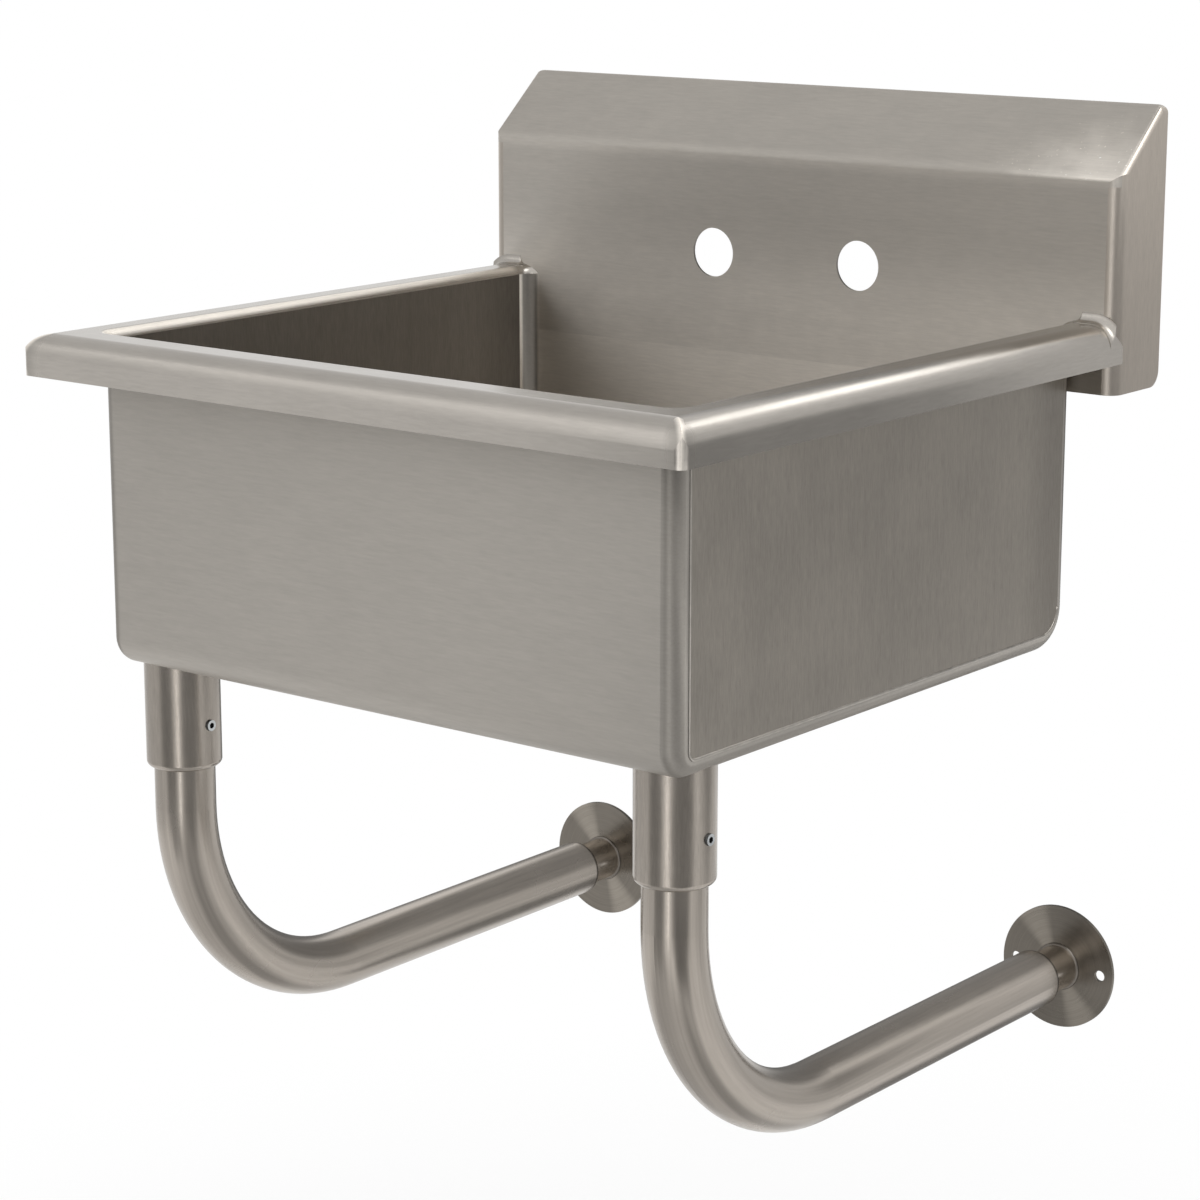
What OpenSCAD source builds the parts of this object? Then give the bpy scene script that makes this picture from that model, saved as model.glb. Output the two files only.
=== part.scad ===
// Wall-mounted hand sink with a back splash and two braced legs
// Millimetres. X runs across the sink, the wall is the plane Y = 0 and the sink faces -Y.
// Z is up. The origin is the middle of the splash's rear flange, on the wall.

/* [Overall] */
// Width over the rim and the splash
sink_w = 438; // [400:1:640]
// Depth from the wall to the front of the rim
sink_d = 435; // [380:1:560]
// Thickness of the bowl, rim and splash sheet
sheet_t = 1.5; // [1:0.1:2]

/* [Bowl] */
// Height from the top of the rim to the underside of the bowl
bowl_h = 181.5; // [140:0.5:300]
// Outside radius of the coved edges beside the flat side panels
cove_r = 10; // [7:0.5:12]
// Outside radius of the bend from the front wall to the bottom
front_bend_r = 15; // [14:0.5:22]
// Outside radius of the bend from the bottom to the back wall
rear_bend_r = 24; // [16:1:40]

/* [Rim] */
// Width of the side rims, from the outer face to the inside of the bowl
rim_side_w = 27.5; // [24:0.5:40]
// Width of the front rim, from the outer face to the inside of the bowl
rim_front_w = 32.5; // [24:0.5:44]
// Height of the rim's skirt
rim_skirt_h = 22; // [18:0.5:30]
// Outside radius of the roll over the rim's outer edge
rim_roll_r = 13; // [8:0.5:15]
// Radius where the rim turns down into the bowl
rim_inner_r = 5; // [3:0.5:6.5]
// Radius of the rim's upright front corners
rim_corner_r = 5; // [3:0.5:8]
// Width of the return turned in under the skirt
rim_hem_w = 8; // [5:0.5:11]
// Radius of the dressed weld between a side rim and the splash
rim_weld_r = 5; // [2:0.5:7]
// Thickness of that weld along its edges
rim_weld_toe = 0.3; // [0.2:0.1:0.6]

/* [Splash] */
// Depth of the splash, from the wall to its front face
splash_d = 48; // [36:1:70]
// Height of the splash's top edge over the rim
splash_h = 119; // [100:1:220]
// Height of the splash's upright face over the rim
splash_face_h = 77.5; // [70:0.5:160]
// How far the splash reaches down below the top of the rim
splash_drop = 39; // [30:1:60]
// Outside radius of the fold between the upright face and the slope
splash_fold_r = 4; // [3:0.5:8]
// Outside radius of the fold along the top rear edge
splash_top_r = 3.5; // [2.5:0.5:6]
// Outside radius of the upright bends at the splash's ends
splash_end_r = 8; // [4:0.5:10]
// Radius of the welded edges between the slope and the end caps
splash_edge_r = 3; // [2.5:0.5:5]
// Radius of the splash's upper corners, seen from the front
splash_corner_r = 5; // [3:0.5:10]
// Radius of the end cap's lower rear corner
cap_corner_r = 9; // [4:0.5:14]
// Height of the flange that lies on the wall below the top edge
back_flange_h = 38; // [25:1:50]
// Width of the end caps' flanges on the wall
cap_flange_w = 14; // [8:1:25]

/* [Faucet holes] */
// Distance between the faucet hole centres
faucet_pitch = 101.6; // [90:0.1:210]
// Diameter of the faucet holes
faucet_hole_d = 28.6; // [22:0.1:36]
// Height of the hole centres over the top of the rim
faucet_hole_h = 18.6; // [16:0.1:60]

/* [Wall bracket] */
// Length of the hanger bracket
bracket_w = 340; // [200:5:380]
// Thickness of the bracket
bracket_t = 2; // [1.5:0.1:3]
// Height of the bracket's lip behind the splash's rear flange
bracket_lip_h = 16; // [8:1:22]
// Height of the bracket's leaf on the wall
bracket_leaf_h = 32; // [24:1:40]
// Distance between the bracket's wall screws
bracket_pitch = 203.2; // [120:0.1:280]
// Diameter of the bracket's screw holes
bracket_hole_d = 7; // [5:0.1:10]

/* [Leg sockets] */
// Distance from the side of the bowl to a socket's axis
socket_side_inset = 24; // [23:0.5:60]
// Distance from the front of the bowl to a socket's axis
socket_front_inset = 31; // [30:0.5:80]
// Outside diameter of the sockets
socket_d = 41.3; // [38:0.1:48]
// Length of a socket below the bowl
socket_l = 59; // [50:1:90]
// Wall thickness of the sockets
socket_wall = 3.2; // [2.5:0.1:3.4]
// Height of the socket's closed-in lip
socket_lip_h = 6; // [4:0.5:10]
// Height of the set screw above the lip
set_screw_h = 25; // [18:1:30]
// Diameter of the set screws
set_screw_d = 6; // [5:0.1:8]
// How far the set screws stand out of the sockets
set_screw_proud = 1.2; // [0.5:0.1:3]
// Key width of the set screws
set_screw_key = 3; // [2:0.1:4]

/* [Legs] */
// Outside diameter of the leg tube
leg_d = 33.4; // [30:0.1:34]
// Wall thickness of the leg tube
leg_wall = 1.65; // [1.2:0.05:2]
// Radius of the leg's bend at the tube's centre
leg_bend_r = 122; // [80:1:140]
// Height of the level run's axis below the socket's lip
leg_drop = 146; // [130:1:220]
// Length of leg inside the socket
leg_insertion = 46; // [42:1:48]
// Height of the rolled-in end of the leg
leg_end_r = 3; // [2:0.1:3.4]

/* [Wall feet] */
// Outside diameter of the telescoping stub
stub_d = 26; // [22:0.1:27]
// Wall thickness of the stub
stub_wall = 2; // [1.5:0.1:3]
// Length of stub that shows between the leg and the flange
stub_show = 24; // [16:1:40]
// Length of stub inside the leg
stub_insertion = 42; // [30:1:60]
// Length of the guide bush in the leg's end
bush_l = 20; // [12:1:28]
// Diameter of the wall flange
flange_d = 73; // [66:1:90]
// Thickness of the wall flange
flange_t = 2.2; // [1.5:0.1:4]
// Distance between the flange's screw holes
flange_pitch = 56; // [46:0.5:70]
// Diameter of the flange's screw holes
flange_hole_d = 6.5; // [5:0.1:9]

/* [Drain] */
// Diameter of the strainer's flange in the bowl
drain_flange_d = 84; // [76:1:100]
// Thickness of the strainer's flange
drain_flange_t = 2; // [1.5:0.1:3]
// Diameter of the strainer's shank through the bowl
drain_shank_d = 50; // [48:0.1:56]
// Diameter of the strainer's outlet thread
drain_outlet_d = 48; // [44:0.1:49.5]
// Wall thickness of the strainer's cup
drain_wall = 2; // [1.5:0.1:3]
// Length of the strainer below the bowl
drain_l = 44; // [36:1:60]
// Length of shank left showing below the locknut
drain_shank_show = 2; // [1:0.5:6]
// Depth of the strainer's ledge below the bowl's floor
drain_ledge_depth = 26; // [20:1:32]
// Width of the strainer's ledge
drain_ledge_w = 5; // [3:0.5:7]
// Thickness of the gasket under the bowl
gasket_t = 3; // [2:0.1:5]
// Width of the gasket ring
gasket_w = 9; // [6:0.5:14]
// Thickness of the friction washer
washer_t = 1; // [0.6:0.1:2]
// Height of the locknut
locknut_h = 8; // [6:0.5:14]
// Width of the locknut across its flats
locknut_af = 62; // [58:0.5:70]

/* [Crumb basket] */
// Thickness of the basket's sheet
basket_t = 0.9; // [0.6:0.1:1.5]
// Height of the basket's wall
basket_h = 22; // [16:1:28]
// Diameter of the basket's drain holes
basket_hole_d = 3; // [2:0.1:4]
// Rings of drain holes in the basket's floor
basket_rings = 2; // [1:1:3]
// Slots round the basket's wall
basket_slots = 12; // [6:1:20]
// Diameter of the basket's post
post_d = 4; // [3:0.1:6]
// Diameter of the post's knob
knob_d = 13; // [10:0.5:18]
// Thickness of the post's knob
knob_t = 4; // [3:0.5:6]

/* [Clearances] */
// Gap between pieces that slide in each other
slide_gap = 0.3; // [0.2:0.05:0.5]
// Gap between a seated piece and its seat
seat_gap = 0.3; // [0.1:0.05:0.5]
// Gap in the threads
thread_gap = 0.1; // [0.05:0.05:0.2]

/* [Hidden] */
$fn = 96;
// Overrun of every cut past the face that it opens
over = 1;
// Points on each rounded corner of the splash's section
fold_steps = 8;

// Heights
splash_top_z = back_flange_h / 2;
rim_z = splash_top_z - splash_h;
fold_z = rim_z + splash_face_h;
faucet_z = rim_z + faucet_hole_h;
skirt_z = rim_z - rim_skirt_h;
splash_bottom_z = rim_z - splash_drop;
bowl_z = rim_z - bowl_h;
floor_z = bowl_z + sheet_t;
wall_top_z = rim_z - rim_inner_r;
lip_z = bowl_z - socket_l;
leg_z = lip_z - leg_drop;

// Places of the bowl's outside faces
bowl_hw = sink_w / 2 - rim_side_w + sheet_t;
bowl_front_y = -(sink_d - rim_front_w + sheet_t);
bowl_back_y = -splash_d + sheet_t;
flat_hw = bowl_hw - cove_r;
drain_y = (bowl_front_y + bowl_back_y) / 2;
rim_rear_y = -splash_d + splash_end_r;

// Places of the leg sockets
leg_x = bowl_hw - socket_side_inset;
leg_y = -bowl_front_y - socket_front_inset;

// Colours
steel = [0.66, 0.64, 0.61];
bright_steel = [0.75, 0.74, 0.72];
zinc = [0.82, 0.83, 0.85];
black_rubber = [0.10, 0.10, 0.10];
fibre = [0.45, 0.30, 0.20];

// Shared shapes

// A 2D outline drawn in Y and Z, run along X about the middle
module along_x(length) {
    rotate([90, 0, 90])
        linear_extrude(length, center = true)
            children();
}

// A 2D outline drawn in X and Z, run from the wall side towards the front
module along_y(y_from, y_to) {
    translate([0, y_to, 0])
        rotate([90, 0, 0])
            linear_extrude(y_to - y_from)
                children();
}

// A quarter of a bent sheet's section, in the quadrant of +X and +Y
module quarter_ring(r) {
    difference() {
        intersection() {
            circle(r);
            square(r);
        }
        circle(r - sheet_t);
    }
}

// A box between two corners
module block(low, high) {
    translate(low)
        cube(high - low);
}

// A rectangle between two corners
module panel(low, high) {
    translate(low)
        square(high - low);
}

// The copy of a piece on the other side of the sink
module mirrored(side) {
    mirror([side < 0 ? 1 : 0, 0, 0])
        children();
}

// Bowl

// One coved edge of the wrapped sheet, down the front, along the bottom and up the back
module cove() {
    front_c = [flat_hw, bowl_front_y + front_bend_r, bowl_z + front_bend_r];
    rear_c = [flat_hw, bowl_back_y - rear_bend_r, bowl_z + rear_bend_r];
    translate([flat_hw, bowl_front_y + cove_r, front_c.z])
        rotate([0, 0, -90])
            linear_extrude(wall_top_z - front_c.z)
                quarter_ring(cove_r);
    translate(front_c)
        rotate([90, 0, 90])
            rotate([0, 0, 180])
                rotate_extrude(angle = 90)
                    translate([front_bend_r - cove_r, 0])
                        quarter_ring(cove_r);
    translate([flat_hw, 0, bowl_z + cove_r])
        along_y(front_c.y, rear_c.y)
            rotate([0, 0, -90])
                quarter_ring(cove_r);
    translate(rear_c)
        rotate([90, 0, 90])
            rotate([0, 0, 270])
                rotate_extrude(angle = 90)
                    translate([rear_bend_r - cove_r, 0])
                        quarter_ring(cove_r);
    translate([flat_hw, bowl_back_y - cove_r, rear_c.z])
        linear_extrude(splash_bottom_z - rear_c.z)
            quarter_ring(cove_r);
    intersection() {
        translate([flat_hw, bowl_back_y - cove_r, splash_bottom_z])
            linear_extrude(wall_top_z - splash_bottom_z)
                quarter_ring(cove_r);
        block(
            [flat_hw, bowl_back_y - cove_r, splash_bottom_z],
            [bowl_hw, -splash_d, wall_top_z]
        );
    }
}

// Front wall, bottom and back wall in one bent sheet
module wrap_sheet() {
    along_x(2 * flat_hw) {
        panel(
            [bowl_front_y, bowl_z + front_bend_r],
            [bowl_front_y + sheet_t, wall_top_z]
        );
        translate([bowl_front_y + front_bend_r, bowl_z + front_bend_r])
            rotate(180)
                quarter_ring(front_bend_r);
        panel(
            [bowl_front_y + front_bend_r, bowl_z],
            [bowl_back_y - rear_bend_r, floor_z]
        );
        translate([bowl_back_y - rear_bend_r, bowl_z + rear_bend_r])
            rotate(270)
                quarter_ring(rear_bend_r);
        panel(
            [-splash_d, bowl_z + rear_bend_r],
            [bowl_back_y, splash_bottom_z]
        );
    }
}

module bowl_wrap() {
    color(steel)
        difference() {
            union() {
                wrap_sheet();
                mirrored(1)
                    cove();
                mirrored(-1)
                    cove();
            }
            translate([0, drain_y, bowl_z - over])
                cylinder(h = sheet_t + 2 * over, r = drain_shank_d / 2 + seat_gap);
        }
}

module bowl_side(side) {
    low = [bowl_front_y + cove_r, bowl_z + cove_r];
    high = [bowl_back_y - cove_r, wall_top_z];
    front_r = front_bend_r - cove_r;
    rear_r = rear_bend_r - cove_r;
    color(steel)
        mirrored(side)
            translate([bowl_hw - sheet_t / 2, 0, 0])
                along_x(sheet_t) {
                    panel([low.x, low.y + rear_r], high);
                    panel([low.x + front_r, low.y], [high.x - rear_r, high.y]);
                    panel([low.x, low.y + front_r], [high.x - rear_r, high.y]);
                    translate([low.x + front_r, low.y + front_r])
                        circle(front_r);
                    translate([high.x - rear_r, low.y + rear_r])
                        circle(rear_r);
                }
}

// Rim

// A section that stands on its base line, with both upper corners rounded
module arch(half_w, base, top, r) {
    panel([-half_w, base], [half_w, top - r]);
    panel([-half_w + r, base], [half_w - r, top]);
    for (x = [-half_w + r, half_w - r])
        translate([x, top - r])
            circle(r);
}

// The rim's outside form, or its inside when inset by the sheet
module rim_form(inset, base) {
    front = -sink_d + inset;
    half_w = sink_w / 2 - inset;
    roll = rim_roll_r - inset;
    corner = rim_corner_r - inset;
    top = rim_z - inset;
    intersection() {
        along_y(front, rim_rear_y)
            arch(half_w, base, top, roll);
        along_x(2 * half_w) {
            panel([front, base], [rim_rear_y, top - roll]);
            panel([front + roll, base], [rim_rear_y, top]);
            translate([front + roll, top - roll])
                circle(roll);
        }
        translate([0, 0, base])
            linear_extrude(top - base) {
                panel([-half_w + corner, front], [half_w - corner, rim_rear_y]);
                panel([-half_w, front + corner], [half_w, rim_rear_y]);
                for (x = [-half_w + corner, half_w - corner])
                    translate([x, front + corner])
                        circle(corner);
            }
    }
}

// The bowl's mouth seen from above, grown by an amount
module mouth(grow) {
    half_w = bowl_hw - sheet_t + grow;
    r = cove_r - sheet_t + grow;
    front = bowl_front_y + sheet_t - grow;
    back = -splash_d + grow;
    panel([-half_w + r, front], [half_w - r, back]);
    panel([-half_w, front + r], [half_w, back - r]);
    for (x = [-half_w + r, half_w - r])
        for (y = [front + r, back - r])
            translate([x, y])
                circle(r);
}

// Section of the rim's edge turned down into the bowl, lapped into the flat beside it
module turn_down() {
    quarter_ring(rim_inner_r);
    panel([-over, rim_inner_r - sheet_t], [0, rim_inner_r]);
}

// The turned-down edge round the mouth, on the right half
module mouth_roll() {
    mouth_r = cove_r - sheet_t;
    front_c = bowl_front_y + cove_r;
    rear_c = bowl_back_y - cove_r;
    z = rim_z - rim_inner_r;
    translate([bowl_hw - sheet_t + rim_inner_r, 0, z])
        along_y(front_c, rear_c)
            mirror([1, 0])
                turn_down();
    translate([flat_hw, front_c, z])
        rotate([0, 0, -90])
            rotate_extrude(angle = 90)
                translate([mouth_r + rim_inner_r, 0])
                    mirror([1, 0])
                        turn_down();
    intersection() {
        translate([flat_hw, rear_c, z])
            rotate_extrude(angle = 90)
                translate([mouth_r + rim_inner_r, 0])
                    mirror([1, 0])
                        turn_down();
        block(
            [flat_hw, rear_c, z],
            [bowl_hw + rim_inner_r, -splash_d, rim_z]
        );
    }
}

// Hollow section of the dressed weld, out from the rim and forward from the splash
module weld_section() {
    reach = rim_weld_r + rim_weld_toe;
    difference() {
        panel([-sheet_t / 2, 0], [reach, reach]);
        translate([reach, reach])
            circle(rim_weld_r);
    }
}

// The dressed weld over the right rim's end, from its flat round the roll
module rim_weld() {
    roll_x = sink_w / 2 - rim_roll_r;
    start_x = bowl_hw + rim_inner_r;
    intersection() {
        union() {
            translate([start_x, -splash_d, rim_z])
                rotate([0, 0, 180])
                    rotate_extrude(angle = 90)
                        mirror([1, -1])
                            weld_section();
            translate([(start_x + roll_x) / 2, -splash_d, rim_z])
                along_x(roll_x - start_x)
                    rotate(90)
                        weld_section();
            translate([roll_x, -splash_d, rim_z - rim_roll_r])
                rotate([90, 0, 0])
                    rotate_extrude(angle = 90)
                        translate([rim_roll_r, 0])
                            weld_section();
        }
        block(
            [0, -sink_d, skirt_z],
            [sink_w / 2, -splash_d, rim_z + rim_weld_r + rim_weld_toe]
        );
    }
}

// The whole rim before it is parted at its mitres
module whole_rim() {
    difference() {
        rim_form(0, skirt_z);
        difference() {
            rim_form(sheet_t, skirt_z - over);
            difference() {
                block(
                    [-sink_w / 2, -sink_d, skirt_z],
                    [sink_w / 2, rim_rear_y, skirt_z + sheet_t]
                );
                block(
                    [-sink_w / 2 + rim_hem_w, -sink_d + rim_hem_w, skirt_z - over],
                    [sink_w / 2 - rim_hem_w, 0, skirt_z + sheet_t + over]
                );
            }
        }
        translate([0, 0, skirt_z - over])
            linear_extrude(rim_skirt_h + 2 * over)
                mouth(rim_inner_r);
        splash_form(0, splash_bottom_z);
    }
    mirrored(1)
        mouth_roll();
    mirrored(-1)
        mouth_roll();
    along_x(2 * flat_hw)
        translate([bowl_front_y + sheet_t - rim_inner_r, rim_z - rim_inner_r])
            turn_down();
}

// The front rim's share of the plan, out to the mitres at the corners
module front_share() {
    reach = rim_front_w + cove_r;
    translate([0, 0, skirt_z - over])
        linear_extrude(rim_skirt_h + 2 * over)
            polygon([
                [-sink_w / 2 - over, -sink_d - over],
                [sink_w / 2 + over, -sink_d - over],
                [sink_w / 2 - reach, -sink_d + reach],
                [-sink_w / 2 + reach, -sink_d + reach]
            ]);
}

module rim_front() {
    color(steel)
        intersection() {
            whole_rim();
            front_share();
        }
}

module rim_side(side) {
    color(steel) {
        difference() {
            intersection() {
                whole_rim();
                mirrored(side)
                    block(
                        [flat_hw - over, -sink_d - over, skirt_z - over],
                        [sink_w / 2 + over, 0, rim_z + over]
                    );
            }
            front_share();
        }
        mirrored(side)
            rim_weld();
    }
}

// Splash

slope_h = splash_top_z - fold_z;
slope_l = sqrt(splash_d * splash_d + slope_h * slope_h);
slope_tilt = atan(slope_h / splash_d);
// Height of the rounded top edge
ridge_z = splash_top_z - splash_top_r * (1 / tan(45 - slope_tilt / 2) - 1);
// Outward direction of the slope, in Y and Z
slope_out = [-slope_h / slope_l, splash_d / slope_l];

// Height of the slope's surface at a distance in front of the wall, when inset
function slope_z(y, inset) =
    fold_z - (inset + slope_out.x * (y + splash_d)) / slope_out.y;

// Points round a corner between two directions that lead away from it
function rounded(p, to_a, to_b, r) =
    let (
        half = acos(to_a * to_b) / 2,
        mid = (to_a + to_b) / norm(to_a + to_b),
        c = p + mid * r / sin(half),
        a = p + to_a * r / tan(half) - c,
        b = p + to_b * r / tan(half) - c,
        turn = 180 - 2 * half
    )
    [for (i = [0 : fold_steps])
        c + (a * sin(turn * (1 - i / fold_steps)) + b * sin(turn * i / fold_steps)) / sin(turn)];

// The splash's section in Y and Z
module splash_section(inset, base) {
    front = -splash_d + inset;
    rear = -inset;
    down = [0, -1];
    up_slope = [slope_out.y, -slope_out.x];
    polygon(concat(
        [[rear, base], [front, base]],
        rounded([front, slope_z(front, inset)], down, up_slope, splash_fold_r - inset),
        rounded([rear, slope_z(rear, inset)], -up_slope, down, splash_top_r - inset)
    ));
}

module splash_form(inset, base) {
    half_w = sink_w / 2 - inset;
    r = splash_end_r - inset;
    front = -splash_d + inset;
    reach = splash_h + splash_drop;
    intersection() {
        along_y(-splash_d - over, over)
            arch(half_w, base - over, ridge_z - inset, splash_corner_r - inset);
        translate([0, -splash_d, fold_z])
            rotate([slope_tilt, 0, 0])
                along_y(-reach, reach)
                    arch(half_w, -reach, -inset, splash_edge_r - inset);
        along_x(2 * half_w)
            splash_section(inset, base);
        translate([0, 0, base - over])
            linear_extrude(splash_top_z - base + 2 * over) {
                panel([-half_w, front + r], [half_w, over]);
                panel([-half_w + r, front], [half_w - r, over]);
                for (x = [-half_w + r, half_w - r])
                    translate([x, front + r])
                        circle(r);
            }
    }
}

// The splash and its end caps together, open to the wall below the rear flange
module splash_shell() {
    flange_z = splash_top_z - back_flange_h;
    difference() {
        splash_form(0, splash_bottom_z);
        splash_form(sheet_t, splash_bottom_z - over);
        block(
            [-sink_w / 2 + cap_flange_w, -sheet_t - over, splash_bottom_z - over],
            [sink_w / 2 - cap_flange_w, over, flange_z]
        );
        block(
            [-sink_w / 2 + sheet_t, -sheet_t - over, splash_bottom_z - over],
            [sink_w / 2 - sheet_t, over, splash_bottom_z + cap_corner_r]
        );
        along_x(sink_w + 2 * over)
            difference() {
                panel(
                    [-cap_corner_r, splash_bottom_z - over],
                    [over, splash_bottom_z + cap_corner_r]
                );
                translate([-cap_corner_r, splash_bottom_z + cap_corner_r])
                    circle(cap_corner_r);
            }
    }
}

// What belongs to the end cap on one side
module cap_share(side) {
    flange_z = splash_top_z - back_flange_h;
    top = fold_z - splash_fold_r;
    mirrored(side) {
        block(
            [sink_w / 2 - sheet_t, -splash_d - over, splash_bottom_z - over],
            [sink_w / 2 + over, over, splash_top_z + over]
        );
        block(
            [sink_w / 2 - splash_end_r, -splash_d - over, splash_bottom_z - over],
            [sink_w / 2, -splash_d + splash_end_r, top]
        );
        block(
            [sink_w / 2 - cap_flange_w, -sheet_t - over, splash_bottom_z - over],
            [sink_w / 2, over, flange_z]
        );
    }
}

module splash_panel() {
    color(steel)
        difference() {
            splash_shell();
            cap_share(1);
            cap_share(-1);
            for (x = [-faucet_pitch / 2, faucet_pitch / 2])
                translate([x, -splash_d - over, faucet_z])
                    rotate([-90, 0, 0])
                        cylinder(h = sheet_t + 2 * over, r = faucet_hole_d / 2);
        }
}

module splash_cap(side) {
    color(steel)
        intersection() {
            splash_shell();
            cap_share(side);
        }
}

// Hanger that the splash's rear flange hooks over
module wall_bracket() {
    seat_z = splash_top_z - back_flange_h - seat_gap;
    lip_y = -sheet_t - seat_gap;
    color(bright_steel)
        difference() {
            along_x(bracket_w) {
                panel([-bracket_t, seat_z - bracket_leaf_h], [0, seat_z]);
                panel([lip_y - bracket_t, seat_z - bracket_t], [0, seat_z]);
                panel([lip_y - bracket_t, seat_z - bracket_t], [lip_y, seat_z + bracket_lip_h]);
            }
            for (x = [-bracket_pitch / 2, bracket_pitch / 2])
                translate([x, -bracket_t - over, seat_z - bracket_leaf_h / 2 - bracket_t / 2])
                    rotate([-90, 0, 0])
                        cylinder(h = bracket_t + 2 * over, r = bracket_hole_d / 2);
        }
}

// Legs

// The bowl's outside near its bottom, which the sockets are cut to fit
module bowl_underside() {
    intersection() {
        along_y(bowl_front_y, bowl_back_y)
            mirror([0, 1])
                arch(bowl_hw, -wall_top_z, -bowl_z, cove_r);
        along_x(2 * bowl_hw) {
            panel([bowl_front_y, bowl_z + front_bend_r], [bowl_back_y, wall_top_z]);
            panel([bowl_front_y + front_bend_r, bowl_z], [bowl_back_y, wall_top_z]);
            translate([bowl_front_y + front_bend_r, bowl_z + front_bend_r])
                circle(front_bend_r);
        }
    }
}

module leg_socket(side) {
    r = socket_d / 2;
    bore_r = r - socket_wall;
    lip_r = leg_d / 2 + slide_gap;
    edge_r = socket_wall;
    color(steel)
        difference() {
            translate([side * leg_x, -leg_y, lip_z])
                rotate_extrude() {
                    panel([bore_r, socket_lip_h], [r, socket_l + cove_r]);
                    panel([lip_r, edge_r], [r, socket_lip_h]);
                    panel([lip_r, 0], [r - edge_r, edge_r]);
                    translate([r - edge_r, edge_r])
                        intersection() {
                            circle(edge_r);
                            panel([0, -edge_r], [edge_r, 0]);
                        }
                }
            bowl_underside();
            translate([side * leg_x, -leg_y, lip_z + set_screw_h])
                rotate([0, 90, 0])
                    cylinder(h = r + over, r = set_screw_d / 2 + thread_gap);
        }
}

module set_screw(side) {
    tip = leg_d / 2 + slide_gap;
    head = socket_d / 2 + set_screw_proud;
    key_r = set_screw_key / 2 / cos(30);
    color(zinc)
        translate([side * leg_x, -leg_y, lip_z + set_screw_h])
            rotate([0, 90, 0])
                difference() {
                    translate([0, 0, tip])
                        cylinder(h = head - tip, r = set_screw_d / 2);
                    translate([0, 0, (tip + head) / 2])
                        cylinder(h = head - tip, r = key_r, $fn = 6);
                }
}

// A ring in the tube's section, with a bore
module tube_ring(r, wall) {
    difference() {
        circle(r);
        circle(r - wall);
    }
}

module leg(side) {
    r = leg_d / 2;
    end_y = -flange_t - stub_show;
    bend_z = leg_z + leg_bend_r;
    bend_y = -leg_y + leg_bend_r;
    color(steel)
        translate([side * leg_x, 0, 0]) {
            translate([0, -leg_y, bend_z])
                linear_extrude(lip_z + leg_insertion - bend_z)
                    tube_ring(r, leg_wall);
            translate([0, bend_y, bend_z])
                rotate([90, 0, 90])
                    rotate([0, 0, 180])
                        rotate_extrude(angle = 90)
                            translate([leg_bend_r, 0])
                                tube_ring(r, leg_wall);
            translate([0, bend_y, leg_z])
                rotate([-90, 0, 0])
                    linear_extrude(end_y - leg_end_r - bend_y)
                        tube_ring(r, leg_wall);
            translate([0, end_y - leg_end_r, leg_z])
                rotate([-90, 0, 0])
                    rotate_extrude() {
                        panel([stub_d / 2 + slide_gap, 0], [r - leg_end_r, leg_end_r]);
                        translate([r - leg_end_r, 0])
                            intersection() {
                                circle(leg_end_r);
                                square(leg_end_r);
                            }
                    }
        }
}

// Guide bush that holds the telescoping stub inside the leg's end
module leg_bush(side) {
    r = leg_d / 2 - leg_wall;
    color(zinc)
        translate([side * leg_x, -flange_t - stub_show - leg_end_r - bush_l, leg_z])
            rotate([-90, 0, 0])
                linear_extrude(bush_l)
                    tube_ring(r, r - stub_d / 2 - slide_gap);
}

module foot_stub(side) {
    l = stub_show + stub_insertion;
    color(steel)
        translate([side * leg_x, -flange_t - l, leg_z])
            rotate([-90, 0, 0])
                linear_extrude(l)
                    tube_ring(stub_d / 2, stub_wall);
}

module foot_flange(side) {
    color(bright_steel)
        translate([side * leg_x, 0, leg_z])
            rotate([90, 0, 0])
                difference() {
                    cylinder(h = flange_t, r = flange_d / 2);
                    for (x = [-flange_pitch / 2, flange_pitch / 2])
                        translate([x, 0, -over])
                            cylinder(h = flange_t + 2 * over, r = flange_hole_d / 2);
                }
}

// Drain

shank_r = drain_shank_d / 2;
outlet_r = drain_outlet_d / 2;
cup_r = outlet_r - drain_wall;
ledge_z = -drain_ledge_depth;
nut_z = bowl_z - gasket_t - washer_t - locknut_h;

module strainer_body() {
    flange_r = drain_flange_d / 2;
    throat_r = cup_r + 2 * drain_flange_t;
    shank_end = nut_z - drain_shank_show - floor_z;
    outlet_end = -sheet_t - drain_l;
    color(bright_steel)
        translate([0, drain_y, floor_z])
            rotate_extrude()
                polygon([
                    [cup_r, ledge_z],
                    [cup_r, -drain_flange_t],
                    [throat_r, drain_flange_t],
                    [flange_r - drain_flange_t, drain_flange_t],
                    [flange_r, 0],
                    [shank_r, 0],
                    [shank_r, shank_end],
                    [outlet_r, shank_end],
                    [outlet_r, outlet_end],
                    [cup_r, outlet_end],
                    [cup_r, ledge_z - drain_ledge_w],
                    [cup_r - drain_ledge_w, ledge_z - drain_wall],
                    [cup_r - drain_ledge_w, ledge_z]
                ]);
}

module strainer_gasket() {
    color(black_rubber)
        translate([0, drain_y, bowl_z - gasket_t])
            linear_extrude(gasket_t)
                tube_ring(shank_r + seat_gap + gasket_w, gasket_w);
}

module friction_washer() {
    color(fibre)
        translate([0, drain_y, bowl_z - gasket_t - washer_t])
            linear_extrude(washer_t)
                tube_ring(shank_r + seat_gap + gasket_w, gasket_w);
}

module locknut() {
    color(bright_steel)
        translate([0, drain_y, nut_z])
            difference() {
                cylinder(h = locknut_h, r = locknut_af / 2 / cos(30), $fn = 6);
                translate([0, 0, -over])
                    cylinder(h = locknut_h + 2 * over, r = shank_r + thread_gap);
            }
}

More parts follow.
